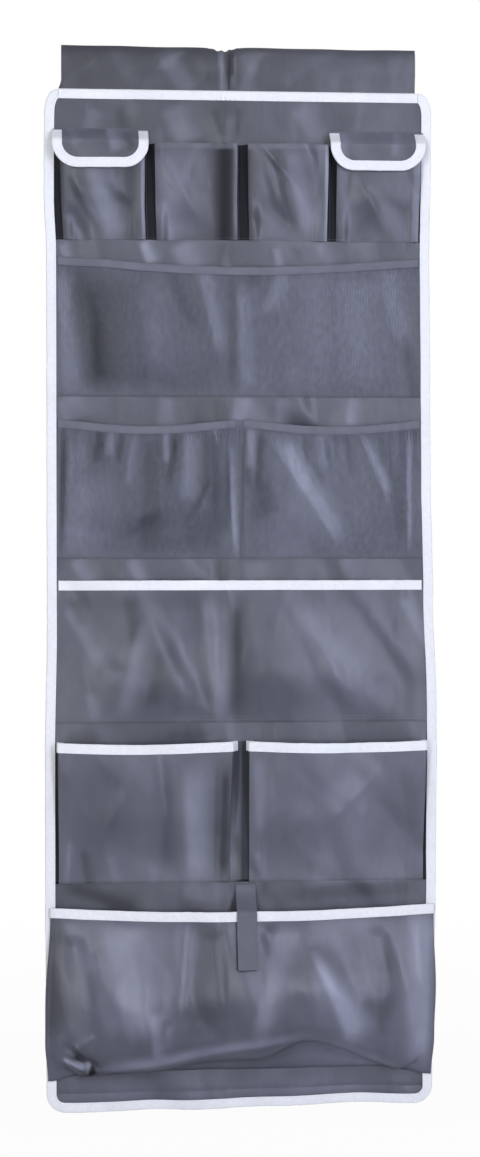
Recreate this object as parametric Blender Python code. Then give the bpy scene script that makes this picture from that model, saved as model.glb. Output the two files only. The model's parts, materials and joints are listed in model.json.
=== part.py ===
"""Hanging pocket organizer: one long cloth panel bound in white tape, with a rod sleeve
along its top and six rows of pockets down its front.

X runs across the panel, Z is up and the pockets face -Y. The origin is the middle of
the sleeve's tunnel, on the axis of the rod that holds the organizer up. Sections of
cloth are worked out as (x, out), where out is the distance forward of the middle of
the panel, and a drop is a distance down from the panel's top edge."""

import math

import bmesh
import bpy
from mathutils import Vector

# Materials by the metre: one ply of cloth, one ply of tape, and the space left between
# two plies that are sewn together
CLOTH = 0.0006
NET = 0.0006
TAPE = 0.0005
SEAM_GAP = 0.0003
TAPE_WIDTH = 0.011
ELASTIC_WIDTH = 0.009

# Panel
PANEL_WIDTH = 0.436
PANEL_THICKNESS = 0.0012
TOP_CORNER_WIDTH = 0.0125
TOP_CORNER_DROP = 0.024
TOP_CORNER_LEAD = 0.0015
BOTTOM_CORNER_RADIUS = 0.020
UNDER_TAPE = 0.006
SEAM_ALLOWANCE = 0.003
SEAM_SPACE = 0.0006
SEWN_STEP = 0.0015

# Rod sleeve
SLEEVE_SEAM = 0.009
SLEEVE_INSET = 0.0035
TUNNEL_HEIGHT = 0.039
TUNNEL_DEPTH = 0.009
TUNNEL_DIP = 0.004
TUNNEL_DIP_X = -0.018
TUNNEL_DIP_WIDTH = 0.020

# Bare strips of panel, from the top edge down
TOP_STRIP = 0.043
UNDER_FLAP_STRIP = 0.017
NET_STRIP = 0.0195
GATHERED_STRIP = 0.0255
WIDE_STRIP = 0.025
LARGE_STRIP = 0.021
BOTTOM_STRIP = 0.0275
LAST_STRIP = 0.045

# Row of four small pockets
SMALL_COUNT = 4
SMALL_HEIGHT = 0.107
SMALL_GUSSET = 0.013
SMALL_LEFT_INSET = 0.0095
SMALL_RIGHT_INSET = 0.002
SMALL_BULGE = 0.0015
SMALL_FOLD = 0.0009

# Flaps over the first and the last small pocket
FLAP_OVERHANG = 0.0015
FLAP_CORNER_WIDTH = 0.027
FLAP_CORNER_REACH = 0.027
FLAP_BARE_HEM = 0.0035

# Hook and loop patches
PATCH = 0.001
PATCH_MARGIN = 0.0025
FLAP_PATCH_WIDTH = 0.026
FLAP_PATCH_HEIGHT = 0.012
STRAP_PATCH_HEIGHT = 0.030

# Wide net pocket
NET_HEIGHT = 0.1565
NET_MOUTH_DEPTH = 0.009
NET_BELLY_DEPTH = 0.012
NET_SAG = 0.0125
NET_FOLDS = 5
NET_FOLD_DEPTH = 0.0014

# Two gathered net pockets
GATHERED_COUNT = 2
GATHERED_HEIGHT = 0.1565
GATHERED_MOUTH_DEPTH = 0.0085
GATHERED_BELLY_DEPTH = 0.016
GATHERED_SAG = 0.009
GATHERS = 9
GATHER_DEPTH = 0.0032

# Wide cloth pocket
WIDE_HEIGHT = 0.159
WIDE_MOUTH_DEPTH = 0.0085
WIDE_BELLY_DEPTH = 0.0075
WIDE_FOLDS = 2
WIDE_FOLD_DEPTH = 0.001

# Two large cloth pockets
LARGE_HEIGHT = 0.158
LARGE_GUSSET = 0.016
LARGE_OUTER_INSET = 0.004
LARGE_LEFT_INNER_INSET = 0.0115
LARGE_RIGHT_INNER_INSET = 0.0095
LARGE_BULGE = 0.003
LARGE_SAG = 0.003

# Bottom pocket
BOTTOM_HEIGHT = 0.1825
BOTTOM_MOUTH_DEPTH = 0.013
BOTTOM_BELLY_DEPTH = 0.036
BOTTOM_SIDE_ROLL = 0.005
BOTTOM_RIM = 0.0025
BOTTOM_SAG = 0.005
BOTTOM_SLUMP = 0.010
BOTTOM_LIFTS = [(-0.2, 0.005), (0.015, 0.0235), (0.072, 0.043), (0.196, 0.006)]
LOWEST = 0.86

# Closure strap
STRAP = 0.0012
STRAP_WIDTH = 0.022
STRAP_REACH = 0.0925
STRAP_X = 0.004
STRAP_BELOW_SEAM = 0.0035
STRAP_SPACE = 0.0006

# Folds of cloth: a taped mouth bends wider than a plain one
TAPED_FOLD = 0.0017
FRONT_RAMP = 0.004
MOUTH_SPREAD = math.radians(42)
TIGHT_FOLD = (CLOTH + SEAM_GAP) / 2

# Where each row starts and ends below the top edge, and a flap below its hinge
SMALL_DROP = TOP_STRIP + UNDER_FLAP_STRIP
NET_DROP = SMALL_DROP + SMALL_HEIGHT + NET_STRIP
GATHERED_DROP = NET_DROP + NET_HEIGHT + GATHERED_STRIP
WIDE_DROP = GATHERED_DROP + GATHERED_HEIGHT + WIDE_STRIP
LARGE_DROP = WIDE_DROP + WIDE_HEIGHT + LARGE_STRIP
BOTTOM_DROP = LARGE_DROP + LARGE_HEIGHT + BOTTOM_STRIP
PANEL_HEIGHT = BOTTOM_DROP + BOTTOM_HEIGHT + LAST_STRIP
FLAP_REACH = UNDER_FLAP_STRIP + PATCH_MARGIN + FLAP_PATCH_HEIGHT + PATCH_MARGIN + TAPE_WIDTH

# Layers forward of the middle of the panel, each a seam gap from the next
PANEL_FACE = PANEL_THICKNESS / 2
SEWN_PLY = PANEL_FACE + SEAM_GAP + CLOTH / 2
EDGE_TAPE_FACE = SEWN_PLY + CLOTH / 2 + SEAM_GAP + TAPE
EDGE_TAPE_BACK = PANEL_FACE + SEAM_GAP + TAPE
TAPE_LIP = SEAM_GAP + TAPE
MOUTH_TAPE_FACE = CLOTH / 2 + SEAM_GAP + TAPE
TAPED_PLY = PANEL_FACE + SEAM_GAP + TAPE + SEAM_GAP + CLOTH / 2
OVER_TAPE_PLY = EDGE_TAPE_FACE + SEAM_GAP + CLOTH / 2
PATCH_STACK = CLOTH / 2 + SEAM_GAP + PATCH / 2
HALF_SPAN = PANEL_WIDTH / 2 - TAPE_WIDTH
HALF_TOP = PANEL_WIDTH / 2 - TAPE_LIP - TOP_CORNER_WIDTH - TOP_CORNER_LEAD
PANEL_TOP = -(TUNNEL_HEIGHT / 2 + SLEEVE_SEAM + SEAM_GAP + EDGE_TAPE_BACK)


def mix(a, b, share):
    return a + (b - a) * share


def ease(share):
    """A smooth step: 0 up to 0, 1 from 1, level at both ends."""
    share = min(max(share, 0.0), 1.0)
    return share * share * (3 - 2 * share)


def eased(knots, at):
    """A smooth curve through (position, value) knots."""
    for (start, low), (end, high) in zip(knots, knots[1:]):
        if at <= end:
            return mix(low, high, ease((at - start) / (end - start)))
    return knots[-1][1]


def clear_scene():
    for item in list(bpy.data.objects):
        bpy.data.objects.remove(item)


def finish(name, colour, roughness):
    """A matt finish with no metal in it."""
    material = bpy.data.materials.new(name)
    material.use_nodes = True
    shader = material.node_tree.nodes["Principled BSDF"]
    shader.inputs["Base Color"].default_value = (*colour, 1)
    shader.inputs["Roughness"].default_value = roughness
    shader.inputs["Metallic"].default_value = 0.0
    return material


def pivot(name, parent, place):
    """An empty that carries the pieces of one moving body."""
    empty = bpy.data.objects.new(name, None)
    bpy.context.collection.objects.link(empty)
    empty.parent = parent
    empty.location = place
    return empty


def add_piece(name, bm, material, parent, place):
    """Turns a bmesh into a named piece, shaded smooth apart from its sharp edges."""
    bmesh.ops.recalc_face_normals(bm, faces=bm.faces)
    mesh = bpy.data.meshes.new(name)
    bm.to_mesh(mesh)
    bm.free()
    mesh.materials.append(material)
    mesh.shade_smooth()
    mesh.set_sharp_from_angle(angle=math.radians(50))
    piece = bpy.data.objects.new(name, mesh)
    bpy.context.collection.objects.link(piece)
    piece.parent = parent
    piece.location = place
    return piece


def ply(name, rows, thickness, material, parent, place):
    """A ply of cloth: a net of points, row below row, thickened evenly to both sides."""
    bm = bmesh.new()
    net = [[bm.verts.new(point) for point in row] for row in rows]
    for upper, lower in zip(net, net[1:]):
        for a, b, c, d in zip(upper, upper[1:], lower[1:], lower):
            bm.faces.new((a, d, c, b))
    piece = add_piece(name, bm, material, parent, place)
    solid = piece.modifiers.new("Ply", "SOLIDIFY")
    solid.thickness = thickness
    solid.offset = 0
    solid.use_even_offset = True
    return piece


def join_rings(bm, rings):
    """Faces between closed rings of points that follow each other."""
    loops = [[bm.verts.new(point) for point in ring] for ring in rings]
    for first, second in zip(loops, loops[1:]):
        for k in range(len(first)):
            n = (k + 1) % len(first)
            bm.faces.new((first[k], first[n], second[n], second[k]))
    return loops


def sweep(name, rings, material, parent, place):
    """One body through closed rings, with a flat face at each end."""
    bm = bmesh.new()
    loops = join_rings(bm, rings)
    bm.faces.new(loops[0])
    bm.faces.new(loops[-1])
    return add_piece(name, bm, material, parent, place)


def tape_section(front, back, width):
    """A tape folded over an edge, as (across, outward) corners: across is forward of
    the middle of what it binds and outward is past that edge."""
    inner = TAPE_LIP - width
    return [
        (-back, inner),
        (-back, TAPE_LIP),
        (front, TAPE_LIP),
        (front, inner),
        (front - TAPE, inner),
        (front - TAPE, SEAM_GAP),
        (TAPE - back, SEAM_GAP),
        (TAPE - back, inner),
    ]


def directions(path):
    """The direction of a path at each point, and how much a mitre widens there."""
    legs = [(b - a).normalized() for a, b in zip(path, path[1:])]
    found = []
    for before, after in zip([legs[0], *legs], [*legs, legs[-1]]):
        along = (before + after).normalized()
        found.append((along, 1 / along.dot(before)))
    return found


def bind_edge(name, path, normals, section, material, parent):
    """Tape folded over an edge that turns in the plane of its cloth. normals point out
    of the front, and the fold is on the right of the path as seen from there."""
    rings = []
    for point, normal, (along, mitre) in zip(path, normals, directions(path)):
        outward = along.cross(normal).normalized()
        across = outward.cross(along)
        rings.append([point + across * a + outward * o * mitre for a, o in section])
    return sweep(name, rings, material, parent, (0, 0, 0))


def bind_mouth(name, rows, skipped, width, material, parent, place):
    """Tape folded over the mouth of a pocket. It lies along the cloth's slope, and
    leaves out a number of columns at each side."""
    section = tape_section(MOUTH_TAPE_FACE, MOUTH_TAPE_FACE, width)
    path = rows[0][skipped:-skipped]
    below = rows[1][skipped:-skipped]
    rings = []
    for point, lower, (along, mitre) in zip(path, below, directions(path)):
        up = (point - lower).normalized()
        across = along.cross(up).normalized()
        rings.append([point + across * a * mitre + up * o for a, o in section])
    return sweep(name, rings, material, parent, place)


def bend(x, out, heading, turn, radius, steps):
    """Points round a fold that starts at (x, out) along heading, and turns left."""
    side = math.copysign(radius, turn)
    centre_x = x - side * math.sin(heading)
    centre_out = out + side * math.cos(heading)
    points = []
    for k in range(1, steps + 1):
        angle = heading + turn * k / steps
        points.append((centre_x + side * math.sin(angle), centre_out - side * math.cos(angle)))
    return points


def bellows(gusset, inset, spread, fold):
    """The left side of a bellows pocket's section, from its sewn edge at x = 0 to
    where its front starts: out, folded back under the front, and round its crease."""
    inward = (gusset + inset) / 2
    outward = (gusset - inset) / 2
    x, out = inward * math.cos(spread), SEWN_PLY + inward * math.sin(spread)
    start = SEAM_ALLOWANCE
    points = [
        (0, SEWN_PLY),
        (start * math.cos(spread), SEWN_PLY + start * math.sin(spread)),
        (x, out),
    ]
    points += bend(x, out, spread, math.pi - 2 * spread, fold, 3)
    x, out = points[-1]
    x -= outward * math.cos(spread)
    out += outward * math.sin(spread)
    points.append((x, out))
    return points + bend(x, out, math.pi - spread, spread - math.pi, fold, 3)


def bellows_rows(left, right, height, gusset, insets, bulge, sag, open_fold):
    """A pocket with bellows sides: open at the mouth, pressed flat at its seam. left
    and right are (edge of the cloth, sewn line)."""
    rows = []
    straight, shut_at = taped_share(height, TAPE_WIDTH)
    for level in (0, straight, 0.36, 0.62, 0.85, 1):
        shut = shut_at(level)
        spread = MOUTH_SPREAD * (1 - shut)
        fold = mix(open_fold, TIGHT_FOLD, ease(shut * 1.25))
        sides = [bellows(gusset, inset, spread, fold) for inset in insets]
        west = [(left[0], SEWN_PLY)] + [(left[1] + x, out) for x, out in sides[0]]
        east = [(right[0], SEWN_PLY)] + [(right[1] - x, out) for x, out in sides[1]]
        front = bellows_front(west[-1], east[-1], gusset, insets, bulge, shut)
        section = west + front + east[::-1]
        span = right[0] - left[0]
        lowered = sag * (1 - shut) ** 2
        rows.append(
            [
                sagging(x, out, level * height, lowered, (x - left[0]) / span)
                for x, out in section
            ]
        )
    return rows


def sagging(x, out, drop, lowered, share):
    """A point of a pocket whose mouth sags most in its middle."""
    return Vector((x, -out, -drop - lowered * math.sin(math.pi * share)))


def bellows_front(west, east, gusset, insets, bulge, shut):
    """The front between its two creases. As the pocket shuts towards its seam, the
    front comes down to the panel past the folded gussets that it covers."""
    covers = [(gusset - inset) / 2 + 2 * TAPED_FOLD for inset in insets]
    span = east[0] - west[0]
    inner = [covers[0] + FRONT_RAMP, span - covers[1] - FRONT_RAMP]
    stations = [covers[0], *[mix(inner[0], inner[1], k / 4) for k in range(5)], span - covers[1]]
    flat = ease((shut - 0.45) / 0.55)
    front = []
    for station in stations:
        share = station / span
        crease = mix(west[1], east[1], share)
        opened = crease + bulge * math.sin(math.pi * share)
        over_gusset = station <= covers[0] or station >= span - covers[1]
        sewn = crease if over_gusset else SEWN_PLY
        front.append((west[0] + station, mix(opened, sewn, flat)))
    return front


def taped_share(height, width):
    """How far down a pocket, as a share of its height, its mouth's tape keeps it
    straight, and how shut the pocket is at a level below that."""
    straight = (width + SEAM_GAP) / height
    return straight, lambda level: max(level - straight, 0) / (1 - straight)


def hanging_rows(left, right, height, taped, depths, folds, fold_depth, sag, columns, levels):
    """A flat pocket of cloth or net: sewn at its sides, standing off the panel between
    them, with soft folds that run down from its mouth. left and right are (edge of the
    cloth, sewn line) and depths are those at the mouth and at the belly."""
    span = right[1] - left[1]
    width = right[0] - left[0]
    straight, shut_at = taped_share(height, taped)
    rows = []
    for level in (0, straight, *levels, 1):
        shut = shut_at(level)
        stand = eased([(0, depths[0]), (0.4, depths[1]), (0.58, depths[1]), (1, 0)], shut)
        fold = fold_depth * eased([(0, 0.35), (0.12, 1), (0.75, 0.35), (1, 0)], shut)
        rise = (TAPED_PLY - SEWN_PLY) * (1 - ease(shut / 0.15))
        section = [(left[0], 0), (left[1], 0), (left[1] + SEWN_STEP, rise)]
        for k in range(1, columns):
            share = k / columns
            swell = ease(min(share, 1 - share) / 0.2)
            ripple = fold * (1 - math.cos(2 * math.pi * folds * share)) / 2
            section.append((left[1] + span * share, rise + stand * swell + ripple))
        section += [(right[1] - SEWN_STEP, rise), (right[1], 0), (right[0], 0)]
        lowered = sag * (1 - shut) ** 2
        rows.append(
            [
                sagging(x, SEWN_PLY + out, level * height, lowered, (x - left[0]) / width)
                for x, out in section
            ]
        )
    return rows


def bottom_seam(share):
    """How far the bottom pocket's lower seam is below its middle, near the corners."""
    return BOTTOM_SLUMP * (1 - ease(min(share, 1 - share) / 0.14))


def bottom_rows():
    """The bottom pocket: its sides roll out over the edge tape, its belly swells in
    two lobes, and its lower edge slumps over its seam and lifts in one place."""
    half = PANEL_WIDTH / 2
    sewn, rim = half - TAPE_WIDTH + TAPE, half - BOTTOM_RIM
    belly = [(0, 0), (0.5, 1), (0.68, 0.95), (0.86, 0.5), (0.94, 0.16), (1, 0)]
    roll = [(0, TAPED_FOLD), (0.45, BOTTOM_SIDE_ROLL), (0.75, 0.8 * BOTTOM_SIDE_ROLL), (1, CLOTH)]
    cover, ramp = TAPE_WIDTH, TAPE_WIDTH + FRONT_RAMP
    straight, shut_at = taped_share(BOTTOM_HEIGHT, TAPE_WIDTH)
    rows = []
    for level in (0, straight, 0.2, 0.34, 0.5, 0.64, 0.77, LOWEST, 0.93, 1):
        shut = shut_at(level)
        rolled = bend(-rim, OVER_TAPE_PLY, math.pi, -math.pi, eased(roll, shut), 4)
        west = [(-sewn, OVER_TAPE_PLY), (-rim, OVER_TAPE_PLY), *rolled]
        start_x, start_out = west[-1]
        span = -2 * start_x
        mouth = BOTTOM_MOUTH_DEPTH * (1 - ease(shut / 0.5))
        stations = [0, cover, *[mix(ramp, half - STRAP_WIDTH, k / 5) for k in range(6)]]
        stations += [span - station for station in stations[::-1]]
        section = west[:-1]
        for station in stations:
            share = station / span
            swell = math.sin(math.pi * share) ** 0.7
            lobes = 1 - 0.16 * math.exp(-(((share - 0.5) / 0.11) ** 2))
            depth = mouth * swell + BOTTOM_BELLY_DEPTH * swell * lobes * eased(belly, shut)
            sewn_down = cover < station < span - cover
            base = mix(start_out, SEWN_PLY if sewn_down else start_out, ease((shut - 0.6) / 0.4))
            section.append((start_x + station, base + depth))
        section += [(-x, out) for x, out in west[:-1][::-1]]
        rows.append([bottom_point(x, out, level) for x, out in section])
    return rows


def bottom_point(x, out, level):
    """Places one point of the bottom pocket's section at its height."""
    share = min(max(x / PANEL_WIDTH + 0.5, 0), 1)
    mouth = BOTTOM_SAG * math.sin(math.pi * share)
    lift = eased(BOTTOM_LIFTS, x)
    seam = BOTTOM_HEIGHT + bottom_seam(share)
    low = BOTTOM_HEIGHT + BOTTOM_SLUMP - lift
    if level < LOWEST:
        front = mix(mouth, low, level / LOWEST)
    else:
        front = mix(low, seam, ease((level - LOWEST) / (1 - LOWEST)))
    drop = mix(seam * level, front, ease(min(share, 1 - share) / 0.1))
    return Vector((x, -out, -drop))


def column_at(rows, x):
    """The place of x among the columns of a ply, counted from 0, along its front."""
    last = len(rows[0]) - 1
    for k in range(last):
        low, high = rows[0][k], rows[0][k + 1]
        front = min(-low.y, -high.y) > SEWN_PLY + CLOTH
        if front and low.x <= x < high.x:
            return k + (x - low.x) / (high.x - low.x)
    return last


def row_at(rows, column, drop):
    """The place of a drop among the rows of a ply, along one column."""
    last = len(rows) - 1
    for k in range(last):
        low, high = on_ply(rows, k, column), on_ply(rows, k + 1, column)
        if -low.z <= drop <= -high.z:
            return k + (drop + low.z) / (low.z - high.z)
    return last


def on_ply(rows, row, column):
    """A point on the faceted ply, between its rows and columns."""
    top, left = min(int(row), len(rows) - 2), min(int(column), len(rows[0]) - 2)
    upper = rows[top][left].lerp(rows[top][left + 1], column - left)
    lower = rows[top + 1][left].lerp(rows[top + 1][left + 1], column - left)
    return upper.lerp(lower, row - top)


def steps_between(start, end):
    """start, end and each whole number between them."""
    whole = range(math.floor(start) + 1, math.ceil(end))
    return [start, *[float(k) for k in whole], end]


def patch_rows(rows, centre_x, width, top, height, forward):
    """A patch that lies on a pocket's front, following its facets."""
    west = column_at(rows, centre_x - width / 2)
    east = column_at(rows, centre_x + width / 2)
    high = row_at(rows, (west + east) / 2, top)
    low = row_at(rows, (west + east) / 2, top + height)
    lift = Vector((0, -forward, 0))
    return [
        [on_ply(rows, row, column) + lift for column in steps_between(west, east)]
        for row in steps_between(high, low)
    ]


def panel_outline(inset):
    """The panel's edge from the left end of its top to the right end, as (x, drop)."""
    half = PANEL_WIDTH / 2 - inset
    corner = half - TOP_CORNER_WIDTH
    left = [(TOP_CORNER_LEAD - corner, 0)]
    for k in range(7):
        angle = math.pi / 2 * k / 6
        drop = TOP_CORNER_DROP * (1 - math.cos(angle))
        left.append((-corner - TOP_CORNER_WIDTH * math.sin(angle), drop))
    radius = BOTTOM_CORNER_RADIUS - inset
    bottom = PANEL_HEIGHT - inset
    for k in range(7):
        angle = math.pi / 2 * k / 6
        x = half - radius + radius * math.cos(angle)
        left.append((-x, bottom - radius + radius * math.sin(angle)))
    return left + [(-x, drop) for x, drop in left[::-1]]


def build_sleeve(cloth):
    """The rod sleeve: one strip of cloth folded over, with its two edges sewn
    together below a tunnel that is open at both ends."""
    bottom = -(TUNNEL_HEIGHT / 2 + SLEEVE_SEAM)
    bm = bmesh.new()
    outer_rings, inner_rings = [], []
    half = HALF_TOP - SLEEVE_INSET
    dip = TUNNEL_DIP_X
    for x in (-half, -half / 2, dip - 0.04, dip - 0.015, dip, dip + 0.015, dip + 0.04, half / 2, half):
        lowered = TUNNEL_DIP * math.exp(-(((x - dip) / TUNNEL_DIP_WIDTH) ** 2))
        tall = (TUNNEL_HEIGHT - lowered) / 2
        centre = tall - TUNNEL_HEIGHT / 2
        inner, outer = [], [Vector((x, CLOTH, bottom)), Vector((x, CLOTH, centre - tall))]
        for k in range(16):
            angle = math.radians(-90 + 360 * (k + 0.5) / 16)
            y, z = math.cos(angle), math.sin(angle)
            inner.append(Vector((x, y * TUNNEL_DEPTH / 2, centre + z * tall)))
            if z > -0.9:
                wall = Vector((0, y * CLOTH, z * CLOTH))
                outer.append(inner[-1] + wall)
        outer += [Vector((x, -CLOTH, centre - tall)), Vector((x, -CLOTH, bottom))]
        outer_rings.append(outer)
        inner_rings.append(inner)
    outside = join_rings(bm, outer_rings)
    inside = join_rings(bm, inner_rings)
    for end in (0, -1):
        rims = []
        for loop in (outside[end], inside[end]):
            rims += [bm.edges.get((a, b)) for a, b in zip(loop, [*loop[1:], loop[0]])]
        bmesh.ops.triangle_fill(bm, edges=rims, use_beauty=True)
    add_piece("hanging_sleeve", bm, cloth, None, (0, 0, 0))


def build_panel(cloth, tape, fold):
    """The back panel, with tape folded over its edges. The top tape has a round fold,
    on which the panel swings from the sleeve."""
    outline = panel_outline(TAPE_LIP)
    bm = bmesh.new()
    corners = [bm.verts.new((x, -PANEL_FACE, -drop)) for x, drop in outline]
    sheet = bm.faces.new(corners)
    raised = bmesh.ops.extrude_face_region(bm, geom=[sheet])
    moved = [item for item in raised["geom"] if isinstance(item, bmesh.types.BMVert)]
    bmesh.ops.translate(bm, vec=(0, PANEL_THICKNESS, 0), verts=moved)
    add_piece("back_panel", bm, cloth, fold, (0, 0, 0))

    path = [Vector((x, 0, -drop)) for x, drop in outline]
    section = tape_section(EDGE_TAPE_FACE, EDGE_TAPE_BACK, TAPE_WIDTH)
    bind_edge("edge_binding", path, [Vector((0, -1, 0))] * len(path), section, tape, fold)

    reach = HALF_TOP - SEAM_GAP
    steps = 6
    outer, inner = EDGE_TAPE_BACK, EDGE_TAPE_BACK - TAPE
    arc = [math.pi * k / steps for k in range(steps + 1)]
    section = [(outer * math.cos(angle), outer * math.sin(angle)) for angle in arc]
    section += [(-outer, outer - TAPE_WIDTH), (-inner, outer - TAPE_WIDTH)]
    section += [(inner * math.cos(angle), inner * math.sin(angle)) for angle in arc[::-1]]
    section += [(inner, outer - TAPE_WIDTH), (outer, outer - TAPE_WIDTH)]
    rings = [[Vector((x, y, z)) for y, z in section] for x in (-reach, reach)]
    sweep("top_binding", rings, tape, fold, (0, 0, 0))


def spans(count):
    """(edge of the cloth, sewn line) at the left and right of each pocket in a row.
    The outer edges lie under the edge tape, and neighbours share the seams between."""
    pitch = 2 * HALF_SPAN / count
    found = []
    for k in range(count):
        west, east = -HALF_SPAN + k * pitch, -HALF_SPAN + (k + 1) * pitch
        left = (west + SEAM_SPACE / 2, west + SEAM_SPACE / 2 + SEAM_ALLOWANCE)
        right = (east - SEAM_SPACE / 2, east - SEAM_SPACE / 2 - SEAM_ALLOWANCE)
        if k == 0:
            left = (west - UNDER_TAPE, west + SEAM_SPACE)
        if k == count - 1:
            right = (east + UNDER_TAPE, east - SEAM_SPACE)
        found.append((left, right))
    return found


def local(side, centre):
    return tuple(x - centre for x in side)


def build_small_pockets(cloth, hook, tape, fold):
    """Four small pockets, and a flap with its patches over the first and the last."""
    for k, (left, right) in enumerate(spans(SMALL_COUNT)):
        centre = (left[1] + right[1]) / 2
        insets = (SMALL_LEFT_INSET, SMALL_RIGHT_INSET)
        rows = bellows_rows(
            local(left, centre), local(right, centre), SMALL_HEIGHT, SMALL_GUSSET, insets,
            SMALL_BULGE, 0, SMALL_FOLD
        )
        place = (centre, 0, -SMALL_DROP)
        ply(f"small_pocket_{k + 1}", rows, CLOTH, cloth, fold, place)
        if k in (0, SMALL_COUNT - 1):
            build_flap("left" if k == 0 else "right", rows, centre, cloth, hook, tape, fold)


def flap_knee(rows):
    """Where the flap turns down, as (drop, out): just above the pocket's mouth, with
    room in front of the pocket for the two patches."""
    front = max(-point.y for point in rows[0])
    return UNDER_FLAP_STRIP - SEAM_SPACE, front + CLOTH + 2 * PATCH + 3 * SEAM_GAP


def flap_out(knee, drop):
    """The flap stands off straight from its hinge to its knee, then hangs down."""
    return mix(SEWN_PLY, knee[1], min(drop / knee[0], 1))


def flap_half_width(drop):
    """Half of the flap's width, which narrows round its lower corners. The flap runs
    from beside the edge tape to just past its pocket."""
    past = max(drop - (FLAP_REACH - FLAP_CORNER_REACH), 0) / FLAP_CORNER_REACH
    width = 2 * HALF_SPAN / SMALL_COUNT - SEAM_SPACE + FLAP_OVERHANG - 2 * TAPE_LIP
    return width / 2 - FLAP_CORNER_WIDTH * (1 - math.sqrt(max(1 - past * past, 0)))


def build_flap(side, pocket_rows, centre, cloth, hook, tape, fold):
    """A flap that hangs from its seam over a small pocket, bound round its free edge."""
    half_pitch = HALF_SPAN / SMALL_COUNT
    middle = HALF_SPAN - half_pitch - (SEAM_SPACE + FLAP_OVERHANG) / 2
    hinge_x = -middle if side == "left" else middle
    hinge = pivot(f"{side}_flap_hinge", fold, (hinge_x, -SEWN_PLY, -TOP_STRIP))
    knee = flap_knee(pocket_rows)
    straight = FLAP_REACH - FLAP_CORNER_REACH
    turns = [math.radians(turn) for turn in (4, 20, 40, 58, 75, 90)]
    drops = [0, FLAP_BARE_HEM, mix(FLAP_BARE_HEM, knee[0], 0.45), knee[0]]
    drops += [straight + FLAP_CORNER_REACH * math.sin(turn) for turn in turns]
    drops.sort()

    def on_flap(x, drop, forward=0.0):
        return Vector((x, SEWN_PLY - flap_out(knee, drop) - forward, -drop))

    rows = []
    for drop in drops:
        half = flap_half_width(drop)
        rows.append([on_flap(half * share, drop) for share in (-1, -0.7, -0.4, 0, 0.4, 0.7, 1)])
    ply(f"{side}_flap", rows, CLOTH, cloth, hinge, (0, 0, 0))

    edge = [row[-1] for row in rows[1:]] + [row[0] for row in rows[:0:-1]]
    normals = []
    for point in edge:
        drop = -point.z
        step = SEAM_GAP
        slope = flap_out(knee, drop + step) - flap_out(knee, drop - step)
        normals.append(Vector((0, -2 * step, slope)).normalized())
    section = tape_section(MOUTH_TAPE_FACE, MOUTH_TAPE_FACE, TAPE_WIDTH)
    bind_edge(f"{side}_flap_binding", edge[::-1], normals[::-1], section, tape, hinge)

    top = UNDER_FLAP_STRIP + PATCH_MARGIN
    half = FLAP_PATCH_WIDTH / 2
    ends = (top, top + FLAP_PATCH_HEIGHT)
    shift = centre - hinge_x
    hook_rows = [
        [on_flap(shift + x, drop, -PATCH_STACK) for x in (-half, half)] for drop in ends
    ]
    ply(f"{side}_flap_hook_patch", hook_rows, PATCH, hook, hinge, (0, 0, 0))
    loop_rows = patch_rows(
        pocket_rows, 0, FLAP_PATCH_WIDTH, top - UNDER_FLAP_STRIP, FLAP_PATCH_HEIGHT, PATCH_STACK
    )
    ply(f"{side}_flap_loop_patch", loop_rows, PATCH, hook, fold, (centre, 0, -SMALL_DROP))


def build_net_pockets(net, elastic, fold):
    """The wide net pocket and the two gathered ones, each with an elastic mouth."""
    (left, right), = spans(1)
    levels = (0.34, 0.55, 0.78)
    rows = hanging_rows(
        left, right, NET_HEIGHT, ELASTIC_WIDTH, (NET_MOUTH_DEPTH, NET_BELLY_DEPTH), NET_FOLDS,
        NET_FOLD_DEPTH, NET_SAG, 4 * NET_FOLDS, levels
    )
    place = (0, 0, -NET_DROP)
    ply("wide_net_pocket", rows, NET, net, fold, place)
    bind_mouth("wide_net_elastic", rows, 2, ELASTIC_WIDTH, elastic, fold, place)

    for side, (left, right) in zip(("left", "right"), spans(GATHERED_COUNT)):
        centre = (left[1] + right[1]) / 2
        levels = (0.17, 0.36, 0.6, 0.82)
        rows = hanging_rows(
            local(left, centre), local(right, centre), GATHERED_HEIGHT, ELASTIC_WIDTH,
            (GATHERED_MOUTH_DEPTH, GATHERED_BELLY_DEPTH), GATHERS, GATHER_DEPTH,
            GATHERED_SAG, 4 * GATHERS, levels
        )
        place = (centre, 0, -GATHERED_DROP)
        ply(f"{side}_gathered_pocket", rows, NET, net, fold, place)
        bind_mouth(f"{side}_gathered_elastic", rows, 2, ELASTIC_WIDTH, elastic, fold, place)


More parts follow.
